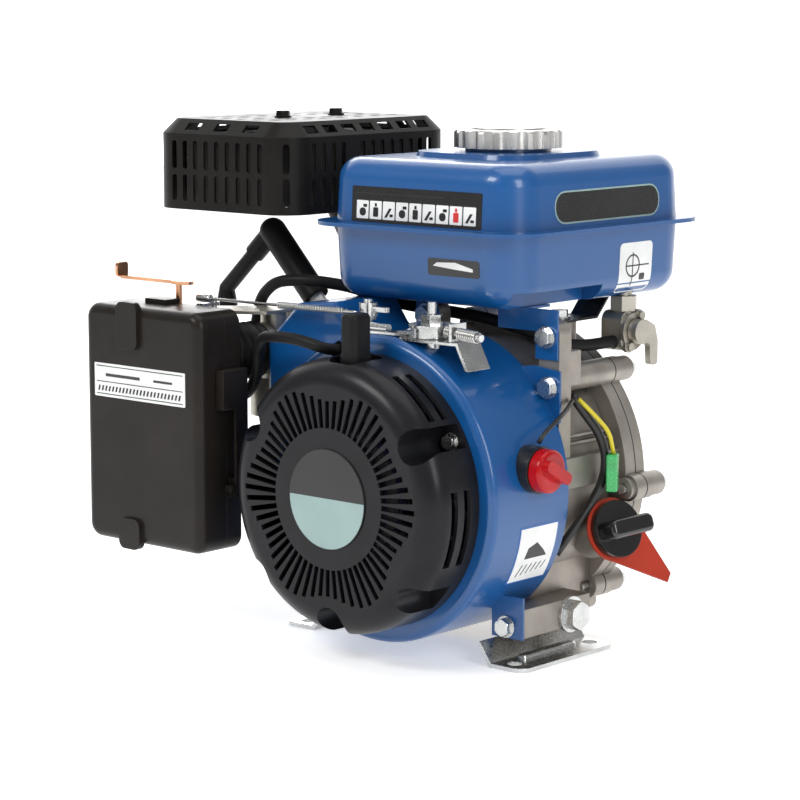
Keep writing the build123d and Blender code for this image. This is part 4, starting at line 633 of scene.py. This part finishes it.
def pull_rope():
    """Braided rope from the starter up into the handle."""
    x, y, z0, z1 = HANDLE_X, HANDLE_Y, 142.0, 170.0
    bm = bmesh.new()
    sides, rows = 12, 240
    rings = []
    for k in range(rows + 1):
        z = z0 + (z1 - z0) * k / rows
        ring = []
        for i in range(sides):
            angle = 2 * math.pi * i / sides
            r = 1.62 + 0.14 * math.sin(3 * angle + 2.4 * (z - z0))
            ring.append(bm.verts.new(Vector((x + r * math.cos(angle), y + r * math.sin(angle), z)) * MM))
        rings.append(ring)
    for a, b in zip(rings, rings[1:]):
        for i in range(sides):
            j = (i + 1) % sides
            bm.faces.new((a[i], a[j], b[j], b[i]))
    bm.faces.new(list(reversed(rings[0])))
    bm.faces.new(rings[-1])
    made = piece("starter_rope", mesh_from(bm, "starter_rope"), "rope", body=None)
    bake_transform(made)
    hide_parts("pull_rope")


bellows()
wires()
guard_bolts()
brackets()
linkage()
idle_spring()
pull_rope()


# ---------------------------------------------------------------- studio and camera
def area_light(name, at, target, size, power, colour=(1, 1, 1)):
    data = bpy.data.lights.new(name, "AREA")
    data.shape = "RECTANGLE"
    data.size, data.size_y = size
    data.energy = power
    data.color = colour
    lamp = bpy.data.objects.new(name, data)
    bpy.context.scene.collection.objects.link(lamp)
    lamp.location = at
    lamp.rotation_euler = (Vector(target) - Vector(at)).to_track_quat("-Z", "Y").to_euler()


def stage_sheet(name, size, low, high, glow):
    """A flat white sheet of the studio, with a faint cloudiness and a glow of its own."""
    bm = bmesh.new()
    bmesh.ops.create_grid(bm, x_segments=8, y_segments=8, size=size)
    mesh = mesh_from(bm, name)
    made = bpy.data.objects.new(name, mesh)
    bpy.context.scene.collection.objects.link(made)
    t = Tree(name)
    white = t.mix(t.noise(0.6), (low, low, low, 1), (high, high, high, 1))
    t.put(t.bsdf, "Base Color", white)
    t.put(t.bsdf, "Emission Color", white)
    t.bsdf.inputs["Emission Strength"].default_value = glow
    t.bsdf.inputs["Roughness"].default_value = 0.8
    mesh.materials.append(t.material)
    return made


def backdrop():
    """Stands upright beyond the engine, square to the camera."""
    made = stage_sheet("backdrop", 7.0, 0.96, 1.0, 1.1)
    level = Vector((CAMERA_ALONG.x, CAMERA_ALONG.y, 0))
    made.location = level.normalized() * BACKDROP_DISTANCE
    made.rotation_euler = (-level).to_track_quat("Z", "Y").to_euler()


def studio():
    world = bpy.data.worlds.new("studio")
    world.use_nodes = True
    world.node_tree.nodes["Background"].inputs["Color"].default_value = (1, 1, 1, 1)
    world.node_tree.nodes["Background"].inputs["Strength"].default_value = 0.30
    bpy.context.scene.world = world
    bpy.context.scene.view_settings.view_transform = "Standard"
    middle_of = (0.0, 0.0, 0.16)
    area_light("key", (-0.5, -1.5, 1.5), middle_of, (0.9, 0.6), 18)
    area_light("fill", (1.6, -0.5, 0.9), middle_of, (0.5, 1.1), 11)
    area_light("top", (0.1, 0.1, 1.6), middle_of, (1.2, 1.2), 8)
    area_light("back", (-1.2, 1.0, 0.8), middle_of, (0.8, 0.8), 5)


def camera():
    data = bpy.data.cameras.new("camera")
    data.lens = 121.5
    data.sensor_width = 36.0
    made = bpy.data.objects.new("camera", data)
    bpy.context.scene.collection.objects.link(made)
    made.location = CAMERA_AT
    made.rotation_euler = CAMERA_ALONG.to_track_quat("-Z", "Y").to_euler()
    bpy.context.scene.camera = made


stage_sheet("floor", 6.0, 0.86, 0.90, 0.5)
backdrop()
studio()
camera()
